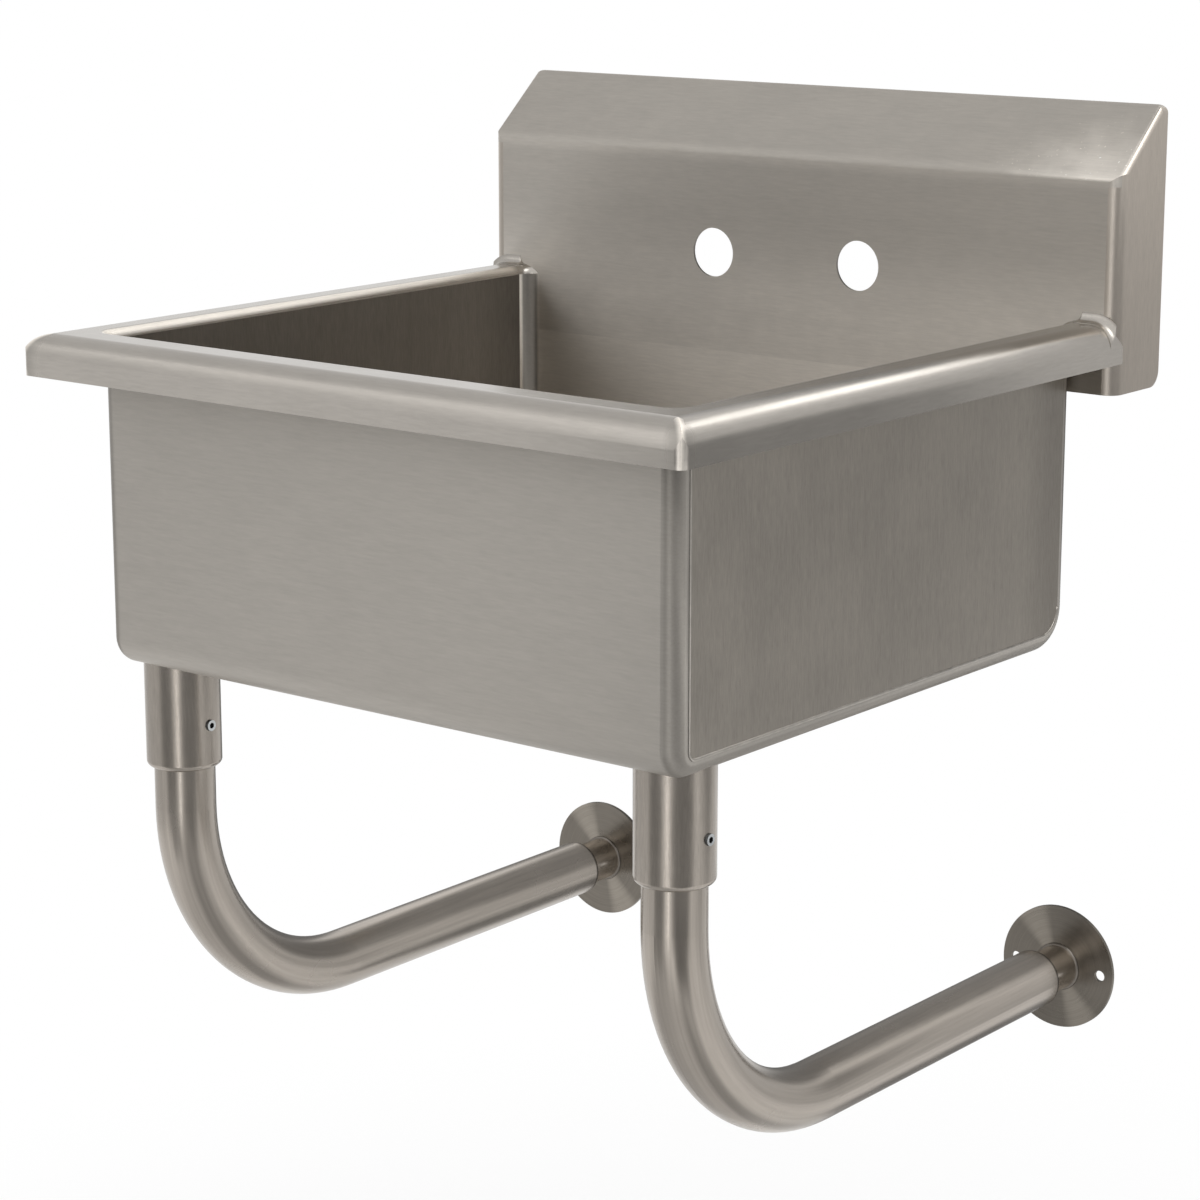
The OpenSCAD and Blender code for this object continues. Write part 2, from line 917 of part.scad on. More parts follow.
module crumb_basket() {
    r = cup_r - 2 * slide_gap;
    base = ledge_z + seat_gap;
    hole_ring = (r - basket_t) / (basket_rings + 1);
    slot_w = basket_hole_d / 2;
    color(bright_steel)
        translate([0, drain_y, floor_z + base])
            difference() {
                rotate_extrude() {
                    panel([0, 0], [r, basket_t]);
                    panel([r - basket_t, 0], [r, basket_h]);
                }
                for (k = [1 : basket_rings])
                    for (i = [0 : 6 * k - 1])
                        rotate([0, 0, i * 60 / k])
                            translate([k * hole_ring, 0, -over])
                                cylinder(h = basket_t + 2 * over, r = basket_hole_d / 2, $fn = 24);
                for (i = [0 : basket_slots - 1])
                    rotate([0, 0, (i + 1 / 2) * 360 / basket_slots])
                        block(
                            [r - 2 * basket_t, -slot_w / 2, basket_h / 4],
                            [r + over, slot_w / 2, basket_h * 3 / 4]
                        );
            }
}

module basket_post() {
    base = ledge_z + seat_gap + basket_t;
    top = drain_flange_t + knob_t;
    color(bright_steel)
        translate([0, drain_y, floor_z])
            rotate_extrude() {
                panel([0, base], [post_d / 2, top - knob_t]);
                panel([0, top - knob_t], [knob_d / 2 - knob_t / 2, top]);
                translate([knob_d / 2 - knob_t / 2, top - knob_t / 2])
                    intersection() {
                        circle(knob_t / 2);
                        panel([0, -knob_t / 2], [knob_t / 2, knob_t / 2]);
                    }
            }
}

bowl_wrap();
bowl_side(-1);  // bowl_side_left
bowl_side(1);  // bowl_side_right
rim_front();
rim_side(-1);  // rim_left
rim_side(1);  // rim_right
splash_panel();
splash_cap(-1);  // splash_cap_left
splash_cap(1);  // splash_cap_right
wall_bracket();
leg_socket(-1);  // leg_socket_left
leg_socket(1);  // leg_socket_right
set_screw(-1);  // set_screw_left
set_screw(1);  // set_screw_right
leg(-1);  // leg_left
leg(1);  // leg_right
leg_bush(-1);  // leg_bush_left
leg_bush(1);  // leg_bush_right
foot_stub(-1);  // foot_stub_left
foot_stub(1);  // foot_stub_right
foot_flange(-1);  // foot_flange_left
foot_flange(1);  // foot_flange_right
strainer_body();
strainer_gasket();
friction_washer();
locknut();
crumb_basket();
basket_post();
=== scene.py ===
"""Looks, studio and camera for a wall-mounted hand sink."""

import math
from typing import Callable, NamedTuple

import bmesh
import bpy
from bpy.props import FloatProperty, FloatVectorProperty, PointerProperty
from bpy.types import Operator, Panel, PropertyGroup
from mathutils import Matrix, Vector


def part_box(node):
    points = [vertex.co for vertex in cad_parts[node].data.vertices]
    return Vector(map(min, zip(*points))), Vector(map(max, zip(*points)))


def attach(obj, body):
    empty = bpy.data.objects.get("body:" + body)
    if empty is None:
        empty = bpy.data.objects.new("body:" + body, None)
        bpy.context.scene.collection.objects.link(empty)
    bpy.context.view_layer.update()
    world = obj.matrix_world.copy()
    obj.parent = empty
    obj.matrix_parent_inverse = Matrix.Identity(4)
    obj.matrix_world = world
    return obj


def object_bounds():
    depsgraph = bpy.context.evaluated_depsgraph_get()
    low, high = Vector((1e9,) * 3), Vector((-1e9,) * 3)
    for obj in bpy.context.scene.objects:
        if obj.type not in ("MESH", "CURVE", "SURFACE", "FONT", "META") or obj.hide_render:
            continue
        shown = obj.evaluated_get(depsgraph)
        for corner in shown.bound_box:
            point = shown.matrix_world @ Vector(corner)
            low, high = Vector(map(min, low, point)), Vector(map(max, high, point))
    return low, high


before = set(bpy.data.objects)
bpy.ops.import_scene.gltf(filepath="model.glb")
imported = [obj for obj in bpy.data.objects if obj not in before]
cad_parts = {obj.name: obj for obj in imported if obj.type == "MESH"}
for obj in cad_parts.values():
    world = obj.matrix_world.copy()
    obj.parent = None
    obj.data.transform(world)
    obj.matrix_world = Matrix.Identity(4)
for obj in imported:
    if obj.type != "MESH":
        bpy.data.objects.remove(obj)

bl_info = {
    "name": "Wall-mounted hand sink",
    "version": (1, 0, 0),
    "blender": (4, 5, 0),
    "location": "3D View > Sidebar > Hand sink",
    "description": "Finishes a hand sink in brushed steel, adds its welds and sets up a studio",
    "category": "Object",
}

CAD_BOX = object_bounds()
CAD_CENTRE = (CAD_BOX[0] + CAD_BOX[1]) / 2

# Brushed grain: what its group takes, in streaks per metre along X, Y and Z
GRAIN_ALONG_X = {"Squeeze": (90.0, 850.0, 850.0)}
GRAIN_ALONG_Y = {"Squeeze": (850.0, 90.0, 850.0)}
GRAIN_ALONG_Z = {"Squeeze": (1150.0, 1150.0, 130.0)}
GRAIN_ALONG_TUBE = (700.0, 700.0, 22.0)  # Round, out from and along the tube
RINGS_PER_METRE = 1600.0  # Of the turned grain
RING_DRIFT = 0.8  # How much a turned ring changes on its way round
FINE_SHARE = 0.72  # Of the fine scratches in a streak, where the rest is broad ones
NOISE_RANGE = (0.3, 0.7)  # Part of a noise's values that is spread over 0 to 1
GRAIN_OUTPUTS = {"Height": "NodeSocketFloat", "Streak": "NodeSocketFloat"}
XY_ONLY, XZ_ONLY, YZ_ONLY = (1.0, 1.0, 0.0), (1.0, 0.0, 1.0), (0.0, 1.0, 1.0)
WEDGE_AXIS = (-0.5, 0.0, 0.866)  # Of a flange's painted bright wedges, 30 degrees off upright

# Finishes: factors on the tone, roughness or its change, and patches and depths in metres
BUMP_STRENGTH = 0.3
STEEL_MATT = (-0.02, 0.03)
WRAP_SHINE, SIDE_SHINE, CAP_SHINE = 0.12, 0.1, 0.1  # Less roughness than the sheet's
RING_TONES, RING_MATT, RING_CLOUD, RING_SHARE = (0.84, 1.16), (0.26, 0.36), 0.02, 0.6
PLATE_TONES, PLATE_MATT, PLATE_CLOUD = (0.88, 1.08), 0.08, 0.006
SKIN_TONES, SKIN_MATT, SKIN_DEPTH = (0.75, 1.25), -0.08, 0.0002

# Colours
WHITE = (1.0, 1.0, 1.0, 1.0)
FLOOR_GREY = (0.86, 0.86, 0.86, 1.0)
SIDE_TINT_AND_SHADE = (0.91, 0.89, 0.865)  # Factors on the sheet's tone for the bowl's side panels: warmer, and darker as painted shade
STRAINER_TONE = (0.55, 0.54, 0.52)
BASKET_TONE = (0.58, 0.57, 0.55)
RUBBER_TONE = (0.03, 0.03, 0.03)
FIBRE_TONE = (0.30, 0.20, 0.12)

# Parts of a face's normal along an axis, over which a zone starts or ends
BEND_NORMALS = (0.05, 0.3)
FLAT_NORMALS = (0.93, 0.995)
ROLL_NORMALS = (0.15, 0.75)
SKIRT_NORMALS = (0.02, 0.4)
SLOPE_NORMALS = (0.1, 0.45)
CAP_NORMALS = (-0.98, -0.85)
TOP_NORMALS = (0.1, 0.8)
THREAD_NORMALS = (0.2, 0.6)
WEDGE_NORMALS = (0.93, 1.0)
FACING_IN = (0.0, 0.002)  # Metres from the bowl's middle, along the normal

# Places and sizes of the zones, in metres
REAR_EDGE_REACH = (0.045, 0.005)  # In front of a side panel's rear edge, from none to all
RIM_TOP_WIDTH = 0.018  # From a side rim's outer edge to its inner roll
ROLL_END = (-0.062, -0.056)  # Y at which the inner roll ends, in front of the splash
CORNER_REACH = (0.012, 0.02)  # Where a corner weld ends, from the corner
FLANK_WIDTH = (0.003, 0.013)  # Beside the middle of a corner weld, from all to none
FLANK_HEIGHT = (0.014, 0.022)  # Over the skirt's lower edge, from all to none
CREST_NARROWS = (0.001, 0.005)  # Over the skirt's lower edge, where the crest gets narrower
CREST_WIDTH = (0.0036, 0.0025)  # Of the crest below and above that
CREST_WANDER, CREST_WAVES = 0.0012, 160.0  # How far and how often it wanders off its line
CREST_EDGE = (0.2, 1.8)  # Shares of its width, from all to none
LOWER_FRONT = (-0.115, -0.055)  # Z on the splash's front, from all to none
SLOPE_HEIGHT = 0.0385  # From the splash's bend to its top
BEND_WIDTH = (0.0005, 0.0065)  # Over and under the splash's bend, from all to none
BEND_DEPTH = (0.004, 0.008)  # Behind the splash's front, from all to none
SLOPE_END = (0.010, -0.046, 0.042)  # In from the splash's right end, Y, and below its top
END_SQUEEZE = (15.0, 24.0, 22.0)  # Factors on X, Y and Z that make the polished end's painted highlight 1 in reach
POLISH_REACH, POLISH_CLOUD, POLISH_UNEVEN = (0.1, 1.3), 0.02, 0.2
SPECK_REACH, SPECK_NOISE, SPECKS_PER_METRE = (0.3, 1.3), (0.78, 0.83), 760.0
END_LINE, END_LINE_WIDTH = 0.0025, (0.0005, 0.0016)  # In front of a leg's end
BAND_CORE = 0.3  # Share of a band's width that is whole
BAND_TOP = (-0.02, 0.03)  # Over a leg's bend, from all to none
BAND_REAR = (-0.06, 0.0)  # Behind the middle of a leg's bend, from all to none
RUN_START = 0.05  # On both sides of where a leg's run starts
RECESS_RADIUS = (0.0013, 0.0016)  # Of a set screw's recess, from all to none

BEAD_SUNK = 0.55  # Share of a seam bead's radius that is sunk in its panel
TOE_NORMAL = 0.86  # Faces of a bead whose normal has less than this along X are its toe

FLOOR_RADIUS = 12.0
FLOOR_FADE = (0.35, 1.1)  # Distance from the middle over which the floor turns white
SENSOR_WIDTH = 36.0  # Of the camera, in millimetres

# Area lamps: the direction they stand in, distance, width, height and level, where 1 is white
LAMPS = {
    "bank behind the sink": ((0.16, 0.76, 0.62), 2.4, 0.8, 0.40, 2.3),
    "bank over the left": ((-0.60, -0.67, 0.43), 2.4, 1.7, 1.3, 0.24),
    "bank over the right": ((0.62, -0.05, 0.78), 2.2, 1.1, 1.1, 2.4),
    "bank overhead": ((-0.10, 0.30, 0.95), 2.4, 0.8, 0.8, 1.6),
    "strip beside the camera": ((0.342, -0.935, -0.05), 1.8, 0.07, 1.3, 4.0),
}
# Grey cards that glow at a set level and that the steel mirrors, as painted dark reflections:
# place, radius of the full part, whole radius, level
CARDS = {
    "left of the camera": ((-0.30, -1.80, -0.62), 0.42, 0.66, 0.26),
    "right of the camera": ((1.32, -1.08, -0.60), 0.60, 1.00, 0.26),
    "on the left": ((-1.55, -1.05, -0.55), 0.70, 2.00, 0.70),
    "on the right": ((1.15, 0.90, -0.50), 0.80, 1.60, 0.76),
    "close on the right": ((0.52, 0.00, -0.27), 0.17, 0.28, 0.34),
    "over the left": ((-1.10, 0.05, 1.08), 0.75, 1.30, 0.76),
    "behind the legs": ((-0.02, 0.30, -0.12), 0.30, 0.46, 0.28),
    "straight behind": ((-0.73, 0.70, -0.52), 0.30, 0.55, 0.20),
    "under the legs": ((0.08, 0.33, -0.93), 0.16, 0.32, 0.25),
    "on the floor": ((0.05, -0.45, -0.80), 0.30, 0.55, 0.62),
    "on the floor to the left": ((-0.10, -1.20, -0.92), 0.20, 0.46, 0.32),
    "on the floor to the right": ((0.92, -0.80, -0.92), 0.20, 0.46, 0.32),
}


class SinkFinish(PropertyGroup):
    """Colours and grain of the sink's metals"""

    sheet_tone: FloatVectorProperty(
        name="Sheet steel",
        description="Colour of the bowl, rim and splash",
        subtype="COLOR", size=3, min=0.0, max=1.0, default=(0.455, 0.427, 0.389),
    )
    tube_tone: FloatVectorProperty(
        name="Tube steel",
        description="Colour of the legs and their sockets",
        subtype="COLOR", size=3, min=0.0, max=1.0, default=(0.41, 0.371, 0.328),
    )
    flange_tone: FloatVectorProperty(
        name="Turned steel",
        description="Colour of the wall flanges",
        subtype="COLOR", size=3, min=0.0, max=1.0, default=(0.21, 0.19, 0.164),
    )
    zinc_tone: FloatVectorProperty(
        name="Zinc",
        description="Colour of the plated screws, bushes and hanger",
        subtype="COLOR", size=3, min=0.0, max=1.0, default=(0.74, 0.77, 0.78),
    )
    sheet_roughness: FloatProperty(
        name="Sheet roughness",
        description="How matt the brushed sheet is",
        min=0.05, max=1.0, default=0.52,
    )
    rim_roughness: FloatProperty(
        name="Rim roughness",
        description="How matt the rim is, which is polished more than the sheet",
        min=0.05, max=1.0, default=0.24,
    )
    tube_roughness: FloatProperty(
        name="Tube roughness",
        description="How matt the legs and their sockets are",
        min=0.05, max=1.0, default=0.25,
    )
    leg_bend: FloatProperty(
        name="Leg bend",
        description="Radius of the leg's bend, which its grain follows",
        unit="LENGTH", min=0.05, max=0.2, default=0.122,
    )
    grain_depth: FloatProperty(
        name="Grain depth",
        description="Depth of the brushed grain",
        unit="LENGTH", min=0.0, max=0.001, default=0.00004,
    )


class SinkWelds(PropertyGroup):
    """Sizes of the weld beads"""

    seam_bead: FloatProperty(
        name="Seam bead",
        description="Radius of the dressed bead round each side panel",
        unit="LENGTH", min=0.0002, max=0.002, default=0.0011,
    )
    front_turn: FloatProperty(
        name="Front turn",
        description="Radius of the side panel's lower front corner",
        unit="LENGTH", min=0.002, max=0.02, default=0.005,
    )
    rear_turn: FloatProperty(
        name="Rear turn",
        description="Radius of the side panel's lower rear corner",
        unit="LENGTH", min=0.002, max=0.03, default=0.014,
    )
    foot_bead: FloatProperty(
        name="Foot bead",
        description="Radius of the weld between a stub and its wall flange",
        unit="LENGTH", min=0.0005, max=0.003, default=0.0013,
    )


class SinkStage(PropertyGroup):
    """Camera, floor and lamps"""

    camera_place: FloatVectorProperty(
        name="Camera",
        description="Where the camera stands",
        subtype="TRANSLATION", size=3, default=(1.0996, -1.605, 0.158),
    )
    azimuth: FloatProperty(
        name="Azimuth",
        description="Turn of the camera round the sink",
        subtype="ANGLE", default=math.radians(38.42),
    )
    elevation: FloatProperty(
        name="Elevation",
        description="Height of the camera over the horizon",
        subtype="ANGLE", default=math.radians(13.05),
    )
    lens: FloatProperty(
        name="Lens",
        description="Focal length on a 36 mm sensor, in millimetres",
        min=20.0, max=300.0, default=99.33,
    )
    mounting_height: FloatProperty(
        name="Mounting height",
        description="Height of the rim over the floor",
        unit="LENGTH", min=0.5, max=1.2, default=0.86,
    )
    lamp_level: FloatProperty(
        name="Lamp level",
        description="How bright the lamps are against the white room",
        min=0.0, max=3.0, default=1.0,
    )


class Zone(NamedTuple):
    """A part of a piece whose finish differs from the rest, or where light or shade is painted on
    it.
    """

    share: Callable  # Makes the nodes that give 1 inside the zone and 0 outside it
    tone: float  # Factor on the colour
    roughness: float = None  # None keeps the roughness of the rest


def put(tree, kind, settings=(), **sockets):
    """Adds a node to a tree, sets its settings and fills its sockets with values or links."""
    made = tree.nodes.new(kind)
    for name, value in dict(settings).items():
        setattr(made, name, value)
    for name, value in sockets.items():
        key = int(name[1:]) if name[0] == "i" and name[1:].isdigit() else name.replace("_", " ")
        socket = made.inputs[key]
        if isinstance(value, bpy.types.NodeSocket):
            tree.links.new(value, socket)
        else:
            socket.default_value = value
    return made


def math_node(tree, operation, first, second=0.0):
    """What a Math node gives."""
    return put(tree, "ShaderNodeMath", {"operation": operation}, i0=first, i1=second).outputs[0]


def vector_node(tree, operation, first, second=(0.0, 0.0, 0.0), out="Vector"):
    """What a Vector Math node gives."""
    made = put(tree, "ShaderNodeVectorMath", {"operation": operation}, i0=first, i1=second)
    return made.outputs[out]


def length(tree, vector):
    """Length of a vector."""
    return vector_node(tree, "LENGTH", vector, out="Value")


def combine(tree, x=0.0, y=0.0, z=0.0):
    """A vector from its X, Y and Z."""
    return put(tree, "ShaderNodeCombineXYZ", {}, X=x, Y=y, Z=z).outputs[0]


def parts_of(tree, vector):
    """The X, Y and Z of a vector."""
    return put(tree, "ShaderNodeSeparateXYZ", {}, Vector=vector).outputs


def remap(tree, value, low, high, to_low, to_high, smooth=False):
    """Value from one range to another, held at the ends."""
    kind = "SMOOTHSTEP" if smooth else "LINEAR"
    made = put(
        tree, "ShaderNodeMapRange", {"interpolation_type": kind, "clamp": True},
        Value=value, From_Min=low, From_Max=high, To_Min=to_low, To_Max=to_high,
    )
    return made.outputs["Result"]


def rise(tree, value, start, end, smooth=True):
    """Share that is 0 up to the start and 1 from the end on."""
    return remap(tree, value, start, end, 0.0, 1.0, smooth)


def fall(tree, value, start, end, smooth=True):
    """Share that is 1 up to the start and 0 from the end on."""
    return remap(tree, value, start, end, 1.0, 0.0, smooth)


def between(tree, share, low, high):
    """Value between a low and a high one, by a share."""
    return remap(tree, share, 0.0, 1.0, low, high)


def overlap(tree, share, *others):
    """Share that several zones have in common."""
    for other in others:
        share = math_node(tree, "MULTIPLY", share, other)
    return share


def weigh(tree, first, second, share):
    """Average of two values, in which the first one has a share."""
    return math_node(
        tree, "ADD",
        math_node(tree, "MULTIPLY", first, share), math_node(tree, "MULTIPLY", second, 1 - share),
    )


def apart(tree, value, middle):
    """How far a value is from a middle, on either side."""
    return math_node(tree, "ABSOLUTE", math_node(tree, "SUBTRACT", value, middle))


def normal_along(tree, axis):
    """Part of the surface's normal along an axis of the object."""
    return parts_of(tree, tree.nodes.new("ShaderNodeTexCoord").outputs["Normal"])[axis]


def shade(colour, factor):
    """A colour times a factor, never over white."""
    return tuple(min(1.0, part * factor) for part in colour)


def vary(tree, share, tone, low, high):
    """Colour between two factors of a tone, by a share."""
    made = put(
        tree, "ShaderNodeMix", {"data_type": "RGBA"},
        i0=share, i6=(*shade(tone, low), 1.0), i7=(*shade(tone, high), 1.0),
    )
    return made.outputs[2]


def mix_shaders(tree, share, first, second):
    """Shader between two, by a share."""
    return put(tree, "ShaderNodeMixShader", {}, i0=share, i1=first, i2=second).outputs[0]


def tint(tree, colour, level):
    """A colour times a grey level."""
    return vector_node(tree, "MULTIPLY", colour, combine(tree, level, level, level))


def noise(tree, vector, scale, detail=2.0, roughness=0.5):
    """Cloudy noise round a half."""
    made = put(
        tree, "ShaderNodeTexNoise", {},
        Vector=vector, Scale=scale, Detail=detail, Roughness=roughness,
    )
    return made.outputs["Fac"]


def group_shell(name, inputs, outputs):
    """An empty shader group with its named sockets, and its input and output nodes."""
    tree = bpy.data.node_groups.new(name, "ShaderNodeTree")
    for label, kind in inputs.items():
        tree.interface.new_socket(label, in_out="INPUT", socket_type=kind)
    for label, kind in outputs.items():
        tree.interface.new_socket(label, in_out="OUTPUT", socket_type=kind)
    return tree, tree.nodes.new("NodeGroupInput"), tree.nodes.new("NodeGroupOutput")


def brushed_grain(name):
    """Fine parallel scratches: a height for the bump and a streak for the tone."""
    tree, source, result = group_shell(
        name, {"Vector": "NodeSocketVector", "Squeeze": "NodeSocketVector"}, GRAIN_OUTPUTS,
    )
    squeezed = vector_node(tree, "MULTIPLY", source.outputs["Vector"], source.outputs["Squeeze"])
    fine = noise(tree, squeezed, scale=1.0, detail=3.0, roughness=0.65)
    broad = noise(tree, squeezed, scale=0.23)
    tree.links.new(weigh(tree, fine, broad, 0.5), result.inputs["Height"])
    streak = weigh(tree, fine, broad, FINE_SHARE)
    tree.links.new(rise(tree, streak, *NOISE_RANGE, smooth=False), result.inputs["Streak"])


def tube_grain(name):
    """Scratches along a tube that comes down, bends towards +Y and runs on."""
    tree, source, result = group_shell(
        name,
        {
            "Vector": "NodeSocketVector", "Bend centre": "NodeSocketVector",
            "Bend radius": "NodeSocketFloat",
        },
        GRAIN_OUTPUTS,
    )
    radius = source.outputs["Bend radius"]
    centred = vector_node(tree, "SUBTRACT", source.outputs["Vector"], source.outputs["Bend centre"])
    x, y, z = parts_of(tree, centred)
    back = math_node(tree, "MAXIMUM", math_node(tree, "MULTIPLY", y, -1.0), 0.0)
    down = math_node(tree, "MAXIMUM", math_node(tree, "MULTIPLY", z, -1.0), 0.0)
    level = math_node(tree, "SUBTRACT", length(tree, combine(tree, back, down)), radius)
    turn = math_node(tree, "MULTIPLY", math_node(tree, "ARCTAN2", down, back), radius)
    above = math_node(tree, "MAXIMUM", z, 0.0)
    behind = math_node(tree, "MAXIMUM", y, 0.0)
    along = math_node(tree, "SUBTRACT", math_node(tree, "SUBTRACT", above, behind), turn)
    squeezed = vector_node(tree, "MULTIPLY", combine(tree, x, level, along), GRAIN_ALONG_TUBE)
    fine = noise(tree, squeezed, scale=1.0, detail=3.0, roughness=0.65)
    broad = noise(tree, squeezed, scale=0.25)
    tree.links.new(fine, result.inputs["Height"])
    streak = weigh(tree, fine, broad, 0.5)
    tree.links.new(rise(tree, streak, *NOISE_RANGE, smooth=False), result.inputs["Streak"])


def turned_grain(name):
    """Scratches in circles round the Y axis, as a lathe leaves them."""
    tree, source, result = group_shell(name, {"Vector": "NodeSocketVector"}, GRAIN_OUTPUTS)
    flat = vector_node(tree, "MULTIPLY", source.outputs["Vector"], XZ_ONLY)
    parts = parts_of(tree, flat)
    angle = math_node(tree, "ARCTAN2", parts["Z"], parts["X"])
    polar = combine(
        tree,
        math_node(tree, "MULTIPLY", length(tree, flat), RINGS_PER_METRE),
        math_node(tree, "MULTIPLY", math_node(tree, "SINE", angle), RING_DRIFT),
        math_node(tree, "MULTIPLY", math_node(tree, "COSINE", angle), RING_DRIFT),
    )
    rings = noise(tree, polar, scale=1.0, detail=3.0, roughness=0.6)
    tree.links.new(rings, result.inputs["Height"])
    tree.links.new(rise(tree, rings, *NOISE_RANGE, smooth=False), result.inputs["Streak"])


def polish_mottle(name):
    """Soft cloudy patches that hand polishing leaves."""
    tree, source, result = group_shell(
        name,
        {"Vector": "NodeSocketVector", "Size": "NodeSocketFloat"}, {"Cloud": "NodeSocketFloat"},
    )
    scale = math_node(tree, "DIVIDE", 1.0, source.outputs["Size"])
    cloud = noise(tree, source.outputs["Vector"], scale, detail=3.0, roughness=0.55)
    tree.links.new(rise(tree, cloud, *NOISE_RANGE), result.inputs["Cloud"])


GROUP_MAKERS = {
    "Brushed grain": brushed_grain, "Tube grain": tube_grain,
    "Turned grain": turned_grain, "Polish mottle": polish_mottle,
}


def use_group(tree, name, **sockets):
    """Adds a shader group, made when it is first needed, and gives its outputs."""
    if name not in bpy.data.node_groups:
        GROUP_MAKERS[name](name)
    group = bpy.data.node_groups[name]
    return put(tree, "ShaderNodeGroup", {"node_tree": group}, **sockets).outputs


def cloud_over(tree, place, size):
    """Cloudy share with patches of a size in metres."""
    return use_group(tree, "Polish mottle", Vector=place, Size=size)["Cloud"]


def empty_material(name):
    """A new material with only its coordinates and the surface socket of its output."""
    made = bpy.data.materials.new(name)
    made.use_nodes = True
    tree = made.node_tree
    tree.nodes.clear()
    surface = tree.nodes.new("ShaderNodeOutputMaterial").inputs["Surface"]
    place = tree.nodes.new("ShaderNodeTexCoord").outputs["Object"]
    return made, tree, surface, place


def blank_material(name):
    """A new material with its coordinates and its shader, wired to the output."""
    made, tree, surface, place = empty_material(name)
    shader = tree.nodes.new("ShaderNodeBsdfPrincipled")
    tree.links.new(shader.outputs["BSDF"], surface)
    return made, tree, shader, place


def wire(tree, shader, colour, matt, metallic=1.0):
    """Links a colour and a roughness to a material's shader."""
    tree.links.new(colour, shader.inputs["Base Color"])
    tree.links.new(matt, shader.inputs["Roughness"])
    shader.inputs["Metallic"].default_value = metallic


def roughen(tree, shader, height, depth):
    """Gives a material's surface a fine relief."""
    bump = put(
        tree, "ShaderNodeBump", {}, Strength=BUMP_STRENGTH, Distance=depth, Height=height,
    )
    tree.links.new(bump.outputs["Normal"], shader.inputs["Normal"])


def draw_out(tree, shader, axis, amount, turn=0.0):
    """Draws out what the steel mirrors, along the tangent round an axis of the object."""
    tangent = put(tree, "ShaderNodeTangent", {"direction_type": "RADIAL", "axis": axis})
    tree.links.new(tangent.outputs["Tangent"], shader.inputs["Tangent"])
    shader.inputs["Anisotropic"].default_value = amount
    shader.inputs["Anisotropic Rotation"].default_value = turn


def apply_zones(tree, place, zones, colour, matt):
    """Changes the colour and the roughness inside some zones of a piece."""
    for zone in zones:
        share = zone.share(tree, place)
        colour = tint(tree, colour, between(tree, share, 1.0, zone.tone))
        colour = vector_node(tree, "MINIMUM", colour, (1.0, 1.0, 1.0))
        if zone.roughness is not None:
            mixed = put(
                tree, "ShaderNodeMix", {"data_type": "FLOAT"}, i0=share, i2=matt, i3=zone.roughness,
            )
            matt = mixed.outputs[0]
    return colour, matt


def facing_in(tree, place):
    """Zone of the bowl's faces that look at its middle."""
    low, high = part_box("bowl_wrap")
    inward = vector_node(tree, "SUBTRACT", tuple((low + high) / 2), place)
    normal = tree.nodes.new("ShaderNodeTexCoord").outputs["Normal"]
    facing = vector_node(tree, "DOT_PRODUCT", inward, normal, out="Value")
    return rise(tree, facing, *FACING_IN, smooth=False)


def upright_bend(tree, place):
    """Zone where a sheet turns from its front to its side."""
    across = math_node(tree, "ABSOLUTE", normal_along(tree, "X"))
    return overlap(tree, rise(tree, across, *BEND_NORMALS), fall(tree, across, *FLAT_NORMALS))


def steel(
    name, tone, grain, roughness, spread=0.06, cloud_spread=0.02, cloud_size=0.05, zones=(),
    tangent_axis=None, anisotropy=0.92,
):
    """Brushed steel, whose grain holds the inputs of its group."""
    made, tree, shader, place = blank_material(name)
    kind = "Tube grain" if "Bend radius" in grain else "Brushed grain"
    scratches = use_group(tree, kind, Vector=place, **grain)
    cloud = cloud_over(tree, place, cloud_size)
    colour = vary(tree, scratches["Streak"], tone, 1 - spread, 1 + spread)
    colour = tint(tree, colour, between(tree, cloud, 1 - cloud_spread, 1 + cloud_spread))
    matt = between(tree, cloud, *(roughness + change for change in STEEL_MATT))
    wire(tree, shader, *apply_zones(tree, place, zones, colour, matt))
    roughen(tree, shader, scratches["Height"], bpy.context.scene.sink_finish.grain_depth)
    if tangent_axis:
        draw_out(tree, shader, tangent_axis, anisotropy)
    return made


def turned_steel(name, tone, centre):
    """Steel with turned rings round a centre, for the wall flanges."""
    made, tree, shader, place = blank_material(name)
    centred = vector_node(tree, "SUBTRACT", place, tuple(centre))
    rings = use_group(tree, "Turned grain", Vector=centred)
    cloud = cloud_over(tree, place, RING_CLOUD)
    colour = vary(tree, weigh(tree, rings["Streak"], cloud, RING_SHARE), tone, *RING_TONES)
    matt = between(tree, cloud, *RING_MATT)

    def wedge_highlight(tree, place):
        """Zone of two opposite wedges, which a turned face shows brighter, painted here as a
        highlight.
        """
        out = vector_node(tree, "NORMALIZE", vector_node(tree, "MULTIPLY", centred, XZ_ONLY))
        along = vector_node(tree, "DOT_PRODUCT", out, WEDGE_AXIS, out="Value")
        return rise(tree, math_node(tree, "ABSOLUTE", along), *WEDGE_NORMALS)

    # Painted highlight: the two wedges are made brighter
    wire(tree, shader, *apply_zones(tree, place, (Zone(wedge_highlight, tone=1.6),), colour, matt))
    roughen(tree, shader, rings["Height"], bpy.context.scene.sink_finish.grain_depth)
    draw_out(tree, shader, "Y", amount=0.8, turn=0.25)
    return made


def plated(name, tone, roughness, zones=()):
    """Zinc plate or polished steel, slightly cloudy."""
    made, tree, shader, place = blank_material(name)
    cloud = cloud_over(tree, place, PLATE_CLOUD)
    colour = vary(tree, cloud, tone, *PLATE_TONES)
    matt = between(tree, cloud, roughness, roughness + PLATE_MATT)
    wire(tree, shader, *apply_zones(tree, place, zones, colour, matt))
    return made


